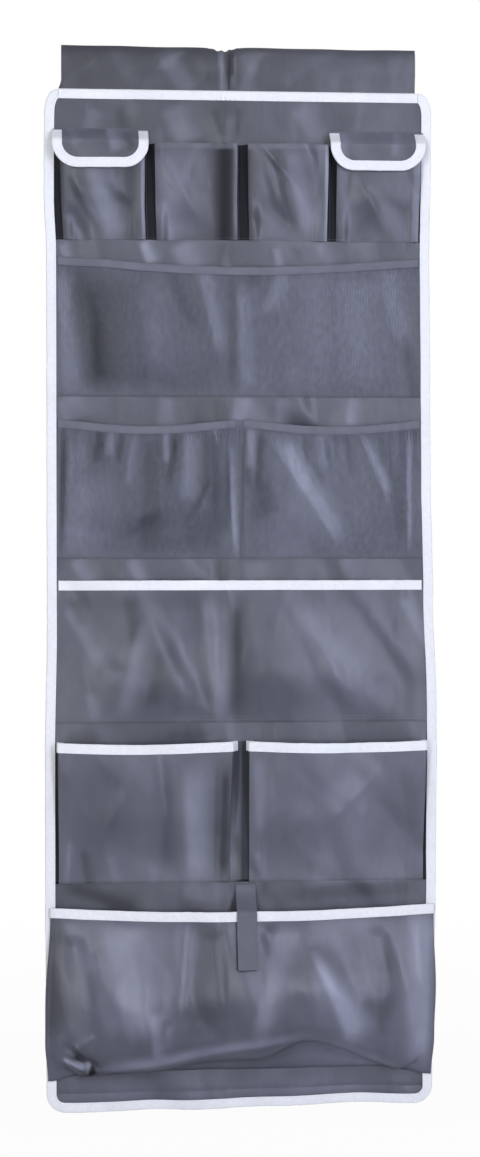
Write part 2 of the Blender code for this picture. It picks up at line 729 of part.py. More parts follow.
def build_cloth_pockets(cloth, tape, fold):
    """The wide pocket and the two large ones below it, with white tape on their mouths."""
    (left, right), = spans(1)
    levels = (0.45, 0.75)
    rows = hanging_rows(
        left, right, WIDE_HEIGHT, TAPE_WIDTH, (WIDE_MOUTH_DEPTH, WIDE_BELLY_DEPTH), WIDE_FOLDS,
        WIDE_FOLD_DEPTH, 0, 6 * WIDE_FOLDS, levels
    )
    place = (0, 0, -WIDE_DROP)
    ply("wide_pocket", rows, CLOTH, cloth, fold, place)
    bind_mouth("wide_pocket_binding", rows, 2, TAPE_WIDTH, tape, fold, place)

    inner = {"left": LARGE_LEFT_INNER_INSET, "right": LARGE_RIGHT_INNER_INSET}
    for side, (left, right) in zip(("left", "right"), spans(2)):
        centre = (left[1] + right[1]) / 2
        insets = (LARGE_OUTER_INSET, inner[side])
        rows = bellows_rows(
            local(left, centre), local(right, centre), LARGE_HEIGHT, LARGE_GUSSET,
            insets if side == "left" else insets[::-1], LARGE_BULGE, LARGE_SAG, TAPED_FOLD
        )
        place = (centre, 0, -LARGE_DROP)
        ply(f"{side}_large_pocket", rows, CLOTH, cloth, fold, place)
        bind_mouth(f"{side}_large_binding", rows, 2, TAPE_WIDTH, tape, fold, place)


def build_bottom_pocket(cloth, tape, hook, webbing, fold):
    """The bottom pocket, and the strap that closes it."""
    rows = bottom_rows()
    place = (0, 0, -BOTTOM_DROP)
    ply("bottom_pocket", rows, CLOTH, cloth, fold, place)
    bind_mouth("bottom_binding", rows, 4, TAPE_WIDTH, tape, fold, place)

    strap_drop = LARGE_DROP + LARGE_HEIGHT + STRAP_BELOW_SEAM
    strap_out = PANEL_FACE + SEAM_GAP + STRAP / 2
    to_mouth = BOTTOM_DROP - strap_drop
    hinge = pivot("strap_hinge", fold, (STRAP_X, -strap_out, -strap_drop))
    column = column_at(rows, STRAP_X)
    patch_top = STRAP_REACH - to_mouth - STRAP_PATCH_HEIGHT - PATCH_MARGIN
    clear = CLOTH / 2 + 2 * SEAM_GAP + STRAP_SPACE + 2 * PATCH + STRAP / 2

    def strap_row(row):
        point = on_ply(rows, row, column)
        return (-point.z + to_mouth, -point.y + clear - strap_out)

    mouth_drop, mouth_out = strap_row(0)
    end = row_at(rows, column, STRAP_REACH - to_mouth)
    patch_width = STRAP_WIDTH - PATCH
    profile = [(0, 0), (mouth_drop * 0.45, mouth_out * 0.55), (mouth_drop - FRONT_RAMP, mouth_out)]
    profile += [strap_row(row) for row in steps_between(0.3, end)]
    half, half_patch = STRAP_WIDTH / 2, patch_width / 2
    strap = [[Vector((x, -out, -drop)) for x in (-half, 0, half)] for drop, out in profile]
    ply("closure_strap", strap, STRAP, webbing, hinge, (0, 0, 0))

    under = STRAP / 2 + SEAM_GAP + PATCH / 2
    high, low = (row_at(rows, column, patch_top + share * STRAP_PATCH_HEIGHT) for share in (0, 1))
    hook_rows = []
    for row in steps_between(high, low):
        drop, out = strap_row(row)
        hook_rows.append([Vector((x, under - out, -drop)) for x in (-half_patch, half_patch)])
    ply("strap_hook_patch", hook_rows, PATCH, hook, hinge, (0, 0, 0))
    loop_rows = patch_rows(rows, STRAP_X, patch_width, patch_top, STRAP_PATCH_HEIGHT, PATCH_STACK)
    ply("strap_loop_patch", loop_rows, PATCH, hook, fold, place)


def main():
    clear_scene()
    cloth = finish("coated_cloth", (0.135, 0.141, 0.174), 0.55)
    net = finish("knitted_net", (0.098, 0.107, 0.144), 0.7)
    tape = finish("white_tape", (0.80, 0.83, 0.90), 0.6)
    elastic = finish("grey_elastic", (0.188, 0.195, 0.246), 0.65)
    webbing = finish("grey_webbing", (0.117, 0.119, 0.156), 0.6)
    hook = finish("hook_and_loop", (0.045, 0.047, 0.060), 0.85)
    fold = pivot("panel_fold", None, (0, 0, PANEL_TOP))
    build_sleeve(cloth)
    build_panel(cloth, tape, fold)
    build_small_pockets(cloth, hook, tape, fold)
    build_net_pockets(net, elastic, fold)
    build_cloth_pockets(cloth, tape, fold)
    build_bottom_pocket(cloth, tape, hook, webbing, fold)


main()
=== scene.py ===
import json
import math

import bmesh
import bpy
import numpy as np
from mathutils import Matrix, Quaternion, Vector


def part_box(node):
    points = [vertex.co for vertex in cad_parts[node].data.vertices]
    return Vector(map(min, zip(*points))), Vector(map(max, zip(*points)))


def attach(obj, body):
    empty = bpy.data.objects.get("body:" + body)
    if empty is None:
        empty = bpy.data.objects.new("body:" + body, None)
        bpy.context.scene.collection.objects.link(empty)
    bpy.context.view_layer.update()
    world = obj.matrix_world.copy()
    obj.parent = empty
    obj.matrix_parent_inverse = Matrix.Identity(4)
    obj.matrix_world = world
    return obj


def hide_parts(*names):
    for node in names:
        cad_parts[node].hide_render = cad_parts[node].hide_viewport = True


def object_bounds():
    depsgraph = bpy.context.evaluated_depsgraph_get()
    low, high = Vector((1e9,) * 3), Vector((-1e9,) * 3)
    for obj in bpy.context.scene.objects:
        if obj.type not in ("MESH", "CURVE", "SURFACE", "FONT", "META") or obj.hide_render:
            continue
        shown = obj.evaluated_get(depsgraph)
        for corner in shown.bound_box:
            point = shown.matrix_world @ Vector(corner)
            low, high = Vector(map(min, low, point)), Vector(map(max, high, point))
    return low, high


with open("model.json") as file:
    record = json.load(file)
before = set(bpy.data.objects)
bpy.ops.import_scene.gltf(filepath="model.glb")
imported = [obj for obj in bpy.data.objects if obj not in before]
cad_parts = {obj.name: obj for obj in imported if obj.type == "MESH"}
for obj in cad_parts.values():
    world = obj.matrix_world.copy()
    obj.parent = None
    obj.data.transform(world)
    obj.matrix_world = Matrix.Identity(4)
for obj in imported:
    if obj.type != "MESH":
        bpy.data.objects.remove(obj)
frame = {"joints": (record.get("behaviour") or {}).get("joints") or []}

cad_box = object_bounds()


# Back panel
# One long sheet of coated woven polyester with clipped top corners and rounded bottom ones.
# Everything else is sewn to it, and it hangs from its top seam in soft, shallow facets.

# All lengths are in metres, but for the folds along which light and shade are painted, which
# are in millimetres. Cloth is laid out flat first, as points (x, -out, -drop): out is forward of
# the middle of the panel's thickness and drop is below the panel's top edge.
TAPE = 0.0005
SEAM_GAP = 0.0003
TAPE_LIP = SEAM_GAP + TAPE
PANEL_THICKNESS = 0.0012
PANEL_STEP = 0.0035
TOP_CORNER_LEAD = 0.0015
TOP_CORNER_DROP = 0.024
BOTTOM_CORNER_RADIUS = 0.020
CORNER_ROWS = 9

joints = {joint["name"]: joint for joint in frame["joints"]}
PANEL_TOP = joints["panel_fold"]["pos_m"][2]
edge_low, edge_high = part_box("edge_binding")
HALF_WIDTH = edge_high.x
PANEL_HEIGHT = PANEL_TOP - edge_low.z
HALF_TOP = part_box("top_binding")[1].x + SEAM_GAP

# How far the panel's left and right edges stray from straight as it hangs, at each drop, and
# how far its lower hem is drawn up at each x
LEFT_STRAY = [
    (0, 0), (0.06, -0.0012), (0.12, -0.0012), (0.18, 0.0012), (0.6, 0.0012), (0.74, -0.0012),
    (0.88, -0.0012), (1.15, 0)
]
RIGHT_STRAY = [
    (0, 0), (0.06, 0), (0.19, -0.0024), (0.45, -0.001), (0.57, 0.0014), (0.7, 0.005),
    (0.86, 0.0042), (1.08, -0.0015), (1.15, -0.0015)
]
HEM_RISE = [(-0.2, -0.0008), (-0.03, 0.001), (0.1, 0.0042), (0.21, 0.0036)]
HEM_WAVE = 0.0009
HEM_FREE_BELOW = 1.085
HEM_FREE_OVER = 0.055

# The sewn-on flaps and strap turn about their seams, which hold the panel straight there:
# each joint and half the length of its seam
HELD_SEAMS = {"left_flap_hinge": 0.056, "right_flap_hinge": 0.056, "strap_hinge": 0.011}
SEAM_HOLD = 0.02
SEAM_HOLD_DROP = 0.014
TOP_SEAM_HOLD = 0.04
PACKING_FOLD_X = -0.0165
PACKING_FOLD = 0.0008
# Light and shade painted on the panel's colour along the folds it was packed in: painted highlights
# where they are paler and painted shade where they are darker. The last two paint light along the
# hem under the bottom pocket and shade across the top.
PANEL_FOLD_SHADING = [
    (-159, 18, -168, 56, 9, 9, 0.64), (-78, 13, -55, 63, 13.5, 18, 0.97),
    (66, 11, 97, 56, 13.5, 13.5, 0.72), (-30, 13, -15, 56, 6.7, 6.7, -0.28),
    (-1, 13, -1, 56, 4.5, 4.5, -0.32), (-136, 13, -127, 56, 7.9, 7.9, -0.27),
    (-201, 170, -192, 191, 5.6, 5.6, 0.97), (-110, 166, -97, 196, 5.6, 7.9, 1.93),
    (-66, 166, -51, 205, 15.8, 15.8, 1.13), (42, 173, 48, 200, 4.5, 4.5, 0.97),
    (91, 166, 109, 196, 7.9, 10.1, 0.8), (-18, 166, -15, 202, 10.1, 10.1, -0.38),
    (66, 171, 69, 200, 11.2, 11.2, -0.27), (-197, 340, -188, 373, 13.5, 13.5, 0.8),
    (-80, 340, -87, 380, 10.1, 10.1, 0.64), (3, 340, -3, 376, 9, 9, 1.29),
    (49, 342, 47, 380, 7.9, 7.9, 0.64), (132, 340, 127, 378, 7.9, 7.9, 1.13),
    (-51, 342, -46, 380, 11.2, 11.2, -0.32), (-24, 342, -21, 378, 6.7, 6.7, -0.38),
    (-186, 522, -168, 556, 9, 9, 0.97), (-125, 522, -105, 560, 7.9, 7.9, 0.97),
    (16, 526, 17, 553, 13.5, 13.5, 0.64), (117, 522, 125, 553, 7.9, 7.9, 0.64),
    (-26, 522, -19, 558, 9, 9, -0.48), (-153, 522, -145, 556, 9, 9, -0.27),
    (-39, 704, -30, 733, 9, 9, 0.48), (-199, 727, -154, 727, 9, 9, -0.43),
    (-91, 724, -21, 720, 6.7, 6.7, -0.32), (-204, 886, -102, 922, 10.1, 13.5, -0.59),
    (-69, 895, -15, 904, 11.2, 11.2, 0.48), (33, 904, 207, 895, 9, 9, -0.38),
    (66, 889, 201, 884, 4.5, 4.5, 0.64), (-91, 1109, -91, 1145, 5.6, 5.6, -0.16),
    (-33, 1109, -33, 1145, 4.5, 4.5, -0.21), (66, 1109, 66, 1143, 13.5, 13.5, 0.19),
    (-250, 1130, 250, 1130, 30, 30, 0.62), (-300, 30, 300, 34, 30, 30, -0.24)
]


def ease(share):
    """A smooth step: 0 up to 0, 1 from 1, level at both ends."""
    share = np.clip(share, 0.0, 1.0)
    return share * share * (3 - 2 * share)


def mix(low, high, share):
    return low + (high - low) * share


def eased(knots, at):
    """A smooth curve through (position, value) knots."""
    at = np.asarray(at, float)
    found = np.full(at.shape, float(knots[0][1]))
    for (start, low), (end, high) in zip(knots, knots[1:]):
        found = np.where(at > start, mix(low, high, ease((at - start) / (end - start))), found)
    return found


def flat(x, out, drop):
    """Points of the cloth laid out flat."""
    x, out, drop = np.broadcast_arrays(x, out, drop)
    return np.stack([x, -out, -drop], axis=-1).astype(float)


def soft_facets(width, height, cell, tilt, lean, stretch, seed):
    """The lie of cloth in soft facets, drawn out along one direction. Each facet has a small
    tilt of its own and blends into the next. Returns a function of (x, drop)."""
    scatter, cross_tilt, unevenness, blend = 0.38, 0.6, 0.25, 0.36
    random = np.random.default_rng(seed)
    reach = math.hypot(width, height) / 2 + cell
    across = np.arange(-reach, reach, cell)
    along = np.arange(-reach / stretch, reach / stretch + cell, cell)
    centres = np.stack(np.meshgrid(across, along), axis=-1).reshape(-1, 2)
    centres += random.uniform(-scatter, scatter, centres.shape) * cell
    tilts = random.normal(0, tilt, centres.shape) * (1, cross_tilt)
    levels = random.normal(0, tilt * cell * unevenness, len(centres))
    near = blend * cell

    def lie_at(x, drop):
        x, drop = np.broadcast_arrays(np.asarray(x, float), np.asarray(drop, float) - height / 2)
        a = (x * math.cos(lean) - drop * math.sin(lean)).ravel()
        b = ((x * math.sin(lean) + drop * math.cos(lean)) / stretch).ravel()
        found, total = np.zeros(a.shape), np.full(a.shape, 1e-9)
        for centre, slope, level in zip(centres, tilts, levels):
            from_a, from_b = a - centre[0], b - centre[1]
            weight = np.exp(-(from_a**2 + from_b**2) / near**2)
            found += weight * (level + slope[0] * from_a + slope[1] * from_b)
            total += weight
        return (found / total).reshape(x.shape)

    return lie_at


def beside(x, drop, line):
    """How far points are along a line (x, drop, x, drop), as a share of it, and how far to
    the right of it where it runs down."""
    start_x, start_drop, end_x, end_drop = line
    run, fall = end_x - start_x, end_drop - start_drop
    length = math.hypot(run, fall)
    along = ((x - start_x) * run + (drop - start_drop) * fall) / length**2
    return along, ((x - start_x) * fall - (drop - start_drop) * run) / length


def ridge(x, at, width, height):
    """A rounded ridge straight down the cloth, or a hollow where the height is below 0."""
    return height / (1 + ((x - at) / width) ** 2) ** 1.5


def painted_fold_shading(points, folds):
    """How much paler than plain, or darker below 0, the cloth's colour is painted at each laid-out
    point along the folds it was packed in: painted highlights on what would catch the light,
    painted shade on what would be in shade. Each fold is its line, its width at both ends, all
    in millimetres, and how pale it is. It is crisp on its left, or its right if it runs up."""
    x, drop = points[..., 0] * 1000, -points[..., 2] * 1000
    found = np.zeros(x.shape)
    for *line, first, last, paler in folds:
        along, aside = beside(x, drop, line)
        along = np.clip(along, 0, 1)
        fade = ease(np.minimum(along, 1 - along) * 4.5)
        crisp = aside < 0
        across = np.abs(aside / mix(first, last, along)) / np.where(crisp, 0.9, 1.1)
        found += paler * fade * np.exp(-across ** np.where(crisp, 4.0, 2.0))
    return found


hung_facets = soft_facets(2 * HALF_WIDTH, PANEL_HEIGHT, 0.062, 0.13, 0.5, 1.9, seed=4)
long_facets = soft_facets(2 * HALF_WIDTH, PANEL_HEIGHT, 0.17, 0.02, -0.2, 1.5, seed=11)


def lie(x, drop):
    """How far the hung cloth stands forward of flat: nothing at the top seam and where a
    flap or the strap is sewn on, and a fold from packing down its length."""
    held = ease(drop / TOP_SEAM_HOLD)
    for name, half_length in HELD_SEAMS.items():
        seam_x, _, seam_z = joints[name]["pos_m"]
        from_end = half_length + SEAM_HOLD - np.abs(x - seam_x)
        near = np.exp(-((drop - PANEL_TOP + seam_z) / SEAM_HOLD_DROP) ** 2)
        held = held * (1 - near * ease(from_end / SEAM_HOLD))
    packing = ridge(x, PACKING_FOLD_X, 0.005, PACKING_FOLD)
    return held * (0.5 * hung_facets(x, drop) + long_facets(x, drop) + packing)


def hang(points):
    """Places laid-out points as the organizer hangs."""
    x, out, drop = points[..., 0], -points[..., 1], -points[..., 2]
    share = np.clip(x / (2 * HALF_WIDTH) + 0.5, 0, 1)
    stray = mix(eased(LEFT_STRAY, drop), eased(RIGHT_STRAY, drop), share)
    wave = eased(HEM_RISE, x) + HEM_WAVE * np.sin(x * 52 + 1.0)
    raised = wave * ease((drop - HEM_FREE_BELOW) / HEM_FREE_OVER)
    return np.stack([x + stray, -(out + lie(x, drop)), PANEL_TOP - drop + raised], axis=-1)


def lengths_along(points, axis):
    """Distances along one axis of a net of points, from its first row or column."""
    steps = np.linalg.norm(np.diff(points, axis=axis), axis=-1)
    start = np.zeros_like(np.take(steps, [0], axis=axis))
    return np.cumsum(np.concatenate([start, steps], axis=axis), axis=axis)


def placed(name, data):
    """An object at the origin, linked into the scene."""
    made = bpy.data.objects.new(name, data)
    bpy.context.scene.collection.objects.link(made)
    return made


def piece_of(name, points, faces, places, material):
    """A mesh piece with its material and a UV map in metres of cloth, shaded smooth."""
    mesh = bpy.data.meshes.new(name)
    mesh.from_pydata(points.reshape(-1, 3).tolist(), [], faces)
    layer = mesh.uv_layers.new(name="cloth")
    corners = np.empty(len(mesh.loops), np.int32)
    mesh.loops.foreach_get("vertex_index", corners)
    places = np.stack(places, axis=-1).reshape(-1, 2)
    layer.data.foreach_set("uv", places[corners].astype(np.float32).ravel())
    mesh.materials.append(material)
    mesh.shade_smooth()
    return placed(name, mesh)


def settle(piece, sharp=50):
    """Makes a piece's modifiers part of its mesh, with its edges sharp past an angle."""
    graph = bpy.context.evaluated_depsgraph_get()
    mesh = bpy.data.meshes.new_from_object(piece.evaluated_get(graph))
    piece.modifiers.clear()
    piece.data = mesh
    mesh.set_sharp_from_angle(angle=math.radians(sharp))
    return piece


def squares(points, turn=1):
    """The corners of each square of a net of points, row below row."""
    rows, columns = points.shape[:2]
    index = np.arange(rows * columns).reshape(rows, columns)
    quads = [index[:-1, :-1], index[1:, :-1], index[1:, 1:], index[:-1, 1:]]
    return np.stack(quads[::turn], axis=-1).reshape(-1, 4).tolist()


def ply(name, points, thickness, material, shade):
    """A ply of cloth through a net of hung points, thickened evenly. shade is the light and shade
    painted into each point's colour: how much paler than plain it is, or darker below 0."""
    across, down = lengths_along(points, 1), lengths_along(points, 0)
    piece = piece_of(name, points, squares(points), (across, -down), material)
    layer = piece.data.attributes.new("shade", "FLOAT", "POINT")
    values = np.broadcast_to(shade, points.shape[:2]).astype(np.float32)
    layer.data.foreach_set("value", values.ravel())
    solid = piece.modifiers.new("Ply", "SOLIDIFY")
    solid.thickness, solid.offset = thickness, 0
    return settle(piece)


def belongs(piece, body, node_name=None):
    """Puts a piece on its body, and hides the CAD node where it stands for one."""
    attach(piece, body)
    if node_name:
        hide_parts(node_name)
    return piece


def node(tree, kind, inputs=(), **settings):
    """Adds a node. Each input is (name or number, a value or another node's output)."""
    made = tree.nodes.new(kind)
    for key, value in settings.items():
        setattr(made, key, value)
    for key, value in inputs:
        if isinstance(value, bpy.types.NodeSocket):
            tree.links.new(value, made.inputs[key])
        else:
            made.inputs[key].default_value = value
    return made


def maths(tree, operation, *values):
    return node(tree, "ShaderNodeMath", enumerate(values), operation=operation).outputs[0]


def ranged(tree, value, start, end, low=0.0, high=1.0, kind="LINEAR"):
    """Turns a value's range into another one."""
    return node(tree, "ShaderNodeMapRange", [
        ("Value", value), ("From Min", start), ("From Max", end), ("To Min", low),
        ("To Max", high)
    ], interpolation_type=kind).outputs[0]


def new_material(name, roughness, specular=0.5, sheen=0.0):
    """A material and its shader, with what is the same all over set on the shader itself."""
    material = bpy.data.materials.new(name)
    material.use_nodes = True
    shader = material.node_tree.nodes["Principled BSDF"]
    shader.inputs["Roughness"].default_value = roughness
    shader.inputs["Specular IOR Level"].default_value = specular
    shader.inputs["Specular Tint"].default_value = (0.91, 0.93, 1.0, 1)
    shader.inputs["Sheen Weight"].default_value = sheen
    return material, material.node_tree, shader


def streaky(tree, scale, lean, stretch, detail, shift=0.0):
    """Noise drawn out along a leaning direction of the hung object, from 0 to 1."""
    turned = node(tree, "ShaderNodeMapping", [
        ("Vector", node(tree, "ShaderNodeTexCoord").outputs["Object"]),
        ("Location", (shift, 0, shift / 3)), ("Rotation", (0, lean, 0)),
        ("Scale", (1, 1, 1 / stretch))
    ])
    inputs = [("Vector", turned.outputs[0]), ("Scale", scale), ("Detail", detail)]
    return node(tree, "ShaderNodeTexNoise", inputs).outputs[0]


def patchy(tree, spread, *noise):
    """Streaky noise with its middle values spread out into clear patches with soft edges."""
    return ranged(tree, streaky(tree, *noise), 0.5 - spread, 0.5 + spread, kind="SMOOTHSTEP")


def on_cloth(tree):
    """Places across and down the cut cloth, in metres."""
    cloth = node(tree, "ShaderNodeUVMap", uv_map="cloth").outputs[0]
    return node(tree, "ShaderNodeSeparateXYZ", [(0, cloth)]).outputs[:2]


def threads(tree, place, pitch):
    """Threads side by side, as a wave from -1 to 1."""
    return maths(tree, "SINE", maths(tree, "MULTIPLY", place, 2 * math.pi / pitch))


def as_height(tree, wave):
    """A wave as a height from 0 to 1."""
    return maths(tree, "MULTIPLY_ADD", wave, 0.5, 0.5)


def weave(tree, across, down):
    """Plain weave as a height: threads go over and under by turns."""
    x, y = on_cloth(tree)
    crossed = maths(tree, "MULTIPLY", threads(tree, x, across), threads(tree, y, down))
    return as_height(tree, crossed)


def figured(tree, shader, colour, spread, *layers):
    """Base colour that varies by a share up and down, with bumps. Each layer is (a value from
    0 to 1, its weight in the colour, its height in metres and the strength of its bump)."""
    total, normal = 0.0, None
    for value, weight, height, strength in layers:
        if weight:
            total = maths(tree, "MULTIPLY_ADD", value, weight, total)
        if height:
            inputs = [("Height", value), ("Distance", height), ("Strength", strength)]
            if normal is not None:
                inputs.append(("Normal", normal))
            normal = node(tree, "ShaderNodeBump", inputs).outputs[0]
            tree.links.new(normal, shader.inputs["Normal"])
    middle = sum(weight for _, weight, _, _ in layers) / 2
    share = maths(tree, "ADD", maths(tree, "SUBTRACT", total, middle), 0.5)
    low = [channel * (1 - spread) for channel in colour]
    high = [channel * (1 + spread) for channel in colour]
    blend = node(tree, "ShaderNodeMix", [
        ("Factor", share), (6, (*low, 1)), (7, (*high, 1))
    ], data_type="RGBA").outputs[2]
    tree.links.new(blend, shader.inputs["Base Color"])
    return blend


def shade_cloth(tree, shader, cloth, roughness):
    """Makes the cloth's colour paler or darker by the light and shade painted into its shade at
    each point, and the cloth dull where that painted shade is darkest, where it is tucked in."""
    shade = node(tree, "ShaderNodeAttribute", attribute_name="shade").outputs["Fac"]
    share = maths(tree, "ADD", shade, 1.0)
    shaded = node(tree, "ShaderNodeVectorMath", [(0, cloth), ("Scale", share)], operation="SCALE")
    tree.links.new(shaded.outputs[0], shader.inputs["Base Color"])
    dull = ranged(tree, shade, -0.85, -0.4, 1.0, roughness)
    tree.links.new(dull, shader.inputs["Roughness"])


def coated_cloth(name, colour, shift, roughness=0.34):
    """Fine plain weave under a thin soft coating, its tone varying at random in streaks and
    patches, with light and shade painted along its creases as pale and dark streaks.
    """
    material, tree, shader = new_material(name, roughness, sheen=0.05)
    shader.inputs["Sheen Roughness"].default_value = 0.4
    cloth = figured(
        tree, shader, colour, 0.3,
        (patchy(tree, 0.14, 9, 0.55, 2.4, 1, shift), 0.15, 0.003, 1.0),
        (patchy(tree, 0.1, 19, 0.35, 1.8, 2, shift + 5), 0.15, 0.0007, 0.8),
        (patchy(tree, 0.12, 44, 0.7, 2.6, 3, shift), 0.1, 0.0003, 0.6),
        (streaky(tree, 95, -0.5, 1.6, 5, shift), 0.25, 0.00025, 0.5),
        (weave(tree, 0.0011, 0.0011), 0.25, 0.0001, 0.5)
    )
    shade_cloth(tree, shader, cloth, roughness)
    return material


def corner_turn(share):
    """How much of a corner's radius is cut off at a share of its height."""
    share = np.clip(share, 0, 1)
    return 1 - np.sqrt(np.clip(1 - share * share, 0, 1))


def panel_half_width(drop, inset):
    """Half the panel's width at a drop, within its clipped and rounded corners."""
    half = HALF_WIDTH - inset
    corner = half - HALF_TOP - TOP_CORNER_LEAD
    top = half - corner * corner_turn(1 - drop / TOP_CORNER_DROP)
    radius = BOTTOM_CORNER_RADIUS - inset
    fall = (drop - (PANEL_HEIGHT - inset - radius)) / radius
    return np.minimum(top, half - radius * corner_turn(fall))


drops = np.concatenate([
    TOP_CORNER_DROP * np.linspace(0, 1, CORNER_ROWS) ** 2,
    np.arange(TOP_CORNER_DROP + PANEL_STEP, PANEL_HEIGHT - BOTTOM_CORNER_RADIUS, PANEL_STEP),
    PANEL_HEIGHT - TAPE_LIP - BOTTOM_CORNER_RADIUS * np.linspace(1, 0, CORNER_ROWS) ** 2,
])
shares = np.linspace(-1, 1, round(2 * HALF_WIDTH / PANEL_STEP) + 1)
net = flat(panel_half_width(drops, TAPE_LIP)[:, None] * shares, 0, drops[:, None])
cloth = coated_cloth("panel_cloth", (0.069, 0.0725, 0.093), 0.0)
back_panel = ply("hung_back_panel", hang(net), PANEL_THICKNESS, cloth, painted_fold_shading(net, PANEL_FOLD_SHADING))
belongs(back_panel, "panel", "back_panel")


# Small pockets
# Four small pockets of the same cloth, sewn down at their sides and along the bottom. Each has
# bellows sides folded back under its front, and a hem turned in along its mouth.
CLOTH = 0.0006
TAPE_WIDTH = 0.011
# How far forward the middle of a ply lies where it is sewn to the panel
SEWN_PLY = PANEL_THICKNESS / 2 + SEAM_GAP + CLOTH / 2
SMALL_COUNT = 4
SMALL_GUSSET = 0.013
SMALL_INSETS = [(0.0084, -0.0005), (0.0073, -0.001), (0.0084, 0.0), (0.0045, 0.002)]
SMALL_BULGE = 0.0015
SMALL_FOLD = 0.0009
SMALL_HEM = 0.0085
HEM_STEP = 0.0005
UNDER_FLAP = 0.018
# Painted highlights on each small pocket's creased right edge
SMALL_RIDGE_HIGHLIGHTS = (0.9, 0.2, 0.9, 0.9)
# Light and shade painted along the small pockets' folds, in millimetres
SMALL_FOLD_SHADING = [
    (-168, 76, -136, 172, 10.1, 14.6, 1), (-192, 135, -172, 173, 6.7, 7.9, 0.56),
    (-123, 215, -125, 15, 11, 13, -0.52), (-181, 76, -177, 127, 9, 9, -0.23),
    (-109, 54, -108, 173, 2, 2, 1.25), (-84, 61, -64, 173, 18, 24.7, 0.81),
    (-91, 121, -69, 171, 9, 9, 0.44), (-22, 215, -24, 15, 24, 26, -0.44),
    (-15, 215, -16, 15, 12, 12, -0.36), (-3, 54, -3, 173, 2, 2, 0.8),
    (55, 56, 87, 169, 10.1, 12.4, 1.19), (19, 76, 46, 171, 10.1, 12.4, 0.38),
    (36, 54, 66, 171, 6.7, 9, -0.52), (97, 54, 103, 173, 2.2, 2.2, 1.5),
    (116, 74, 123, 158, 10.1, 10.1, 0.75), (161, 117, 192, 173, 9, 10.1, 0.5),
    (127, 76, 123, 121, 2.8, 2.8, -0.57), (139, 138, 147, 173, 7.9, 7.9, -0.34),
    (200, 54, 199, 173, 2.2, 2.2, 1.12)
]
# Creases of each pocket's front, from x as a share of its width
SMALL_CREASES = [
    [(0.1, 0.03, 0.55, 0.12, 0.007, 0.003), (0.88, -0.03, 0.86, 0.13, 0.008, -0.0015)],
    [(0.0, 0.0, 0.6, 0.12, 0.012, 0.003), (0.86, -0.03, 0.84, 0.13, 0.012, -0.002)],
    [(0.15, 0.0, 0.6, 0.12, 0.01, 0.003), (0.9, -0.03, 0.88, 0.13, 0.008, -0.0015)],
    [(0.2, 0.03, 0.75, 0.12, 0.009, 0.003), (0.9, -0.03, 0.9, 0.13, 0.008, -0.0012)],
]
SEAM_SPACE = 0.0006
SEAM_ALLOWANCE = 0.003
UNDER_TAPE = 0.006
SEAM_INSET = 0.0028
HALF_SPAN = HALF_WIDTH - TAPE_WIDTH
TAPED_FOLD = 0.0017
TIGHT_FOLD = (CLOTH + SEAM_GAP) / 2
FRONT_RAMP = 0.008
MOUTH_SPREAD = math.radians(42)
STITCH_PITCH = 0.0032
STITCH_LENGTH = 0.0025
THREAD = 0.00045
# Of a bellows pocket's columns: those tucked in at each side, the creased ones after them and
# where its front starts. Then the painted shade on its tucked-in sides, and the painted shade
# on the front's left edge, less at each column.
TUCKED_COLUMNS = 20
RIDGE_COLUMNS = 6
FRONT = slice(24, -24)
TUCKED_SHADE = -0.85
LEFT_EDGE_SHADE = (0.6, 0.6, 0.6, 0.6, 0.6, 0.52, 0.42, 0.32, 0.22, 0.13, 0.06)


def sewn_place(node_name, count=1, k=0):
    """Where a pocket of a row is sewn: (edge of the cloth, sewn line) at its left and at its
    right, the drop of its mouth and its height. A row's outer edges lie under the edge tape,
    and neighbours share the seams between them."""
    pitch = 2 * HALF_SPAN / count
    west, east = -HALF_SPAN + k * pitch, -HALF_SPAN + (k + 1) * pitch
    left = (west + SEAM_SPACE / 2, west + SEAM_SPACE / 2 + SEAM_ALLOWANCE)
    right = (east - SEAM_SPACE / 2, east - SEAM_SPACE / 2 - SEAM_ALLOWANCE)
    if k == 0:
        left = (west - UNDER_TAPE, west + SEAM_SPACE)
    if k == count - 1:
        right = (east + UNDER_TAPE, east - SEAM_SPACE)
    low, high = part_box(node_name)
    mouth, seam = PANEL_TOP - high.z, PANEL_TOP - low.z
    return left, right, mouth, seam - mouth


def sewn_width(place):
    return place[1][1] - place[0][1]


def creased(found, x, drop, creases):
    """Adds soft creases to how far cloth stands out. Each is its line, its width and its
    height, below 0 for a hollow, and fades out towards both ends."""
    for *line, width, height in creases:
        along, aside = beside(x, drop, line)
        fade = np.sin(math.pi * np.clip(along, 0, 1)) ** 0.7
        found = found + height * fade / (1 + (aside / width) ** 2) ** 2
    return found


def loose_front(place, facets, seed, creases=(), free_below=None, hem=None):
    """How far a pocket's front stands out in soft facets and creases, as a function of (share
    across, distance down). The facets are held back above free_below, and a hem adds its own
    step."""
    width = sewn_width(place)
    facets_at = soft_facets(width, place[3], *facets, seed=seed)

    def lie_at(share, down):
        x = (share - 0.5) * width
        found = facets_at(x, np.full_like(x, down))
        if free_below:
            found = found * ease(down / free_below)
        if hem:
            found = found + HEM_STEP * (1 - ease((down - hem) / 0.0009))
        return creased(found, x, down, creases)

    return lie_at


def bend(x, out, heading, turn, radius, steps=8):
    """Points round a fold that starts at (x, out) along heading, and turns left."""
    side = math.copysign(radius, turn)
    centre_x = x - side * math.sin(heading)
    centre_out = out + side * math.cos(heading)
    angles = [heading + turn * k / steps for k in range(1, steps + 1)]
    return [(centre_x + side * math.sin(a), centre_out - side * math.cos(a)) for a in angles]


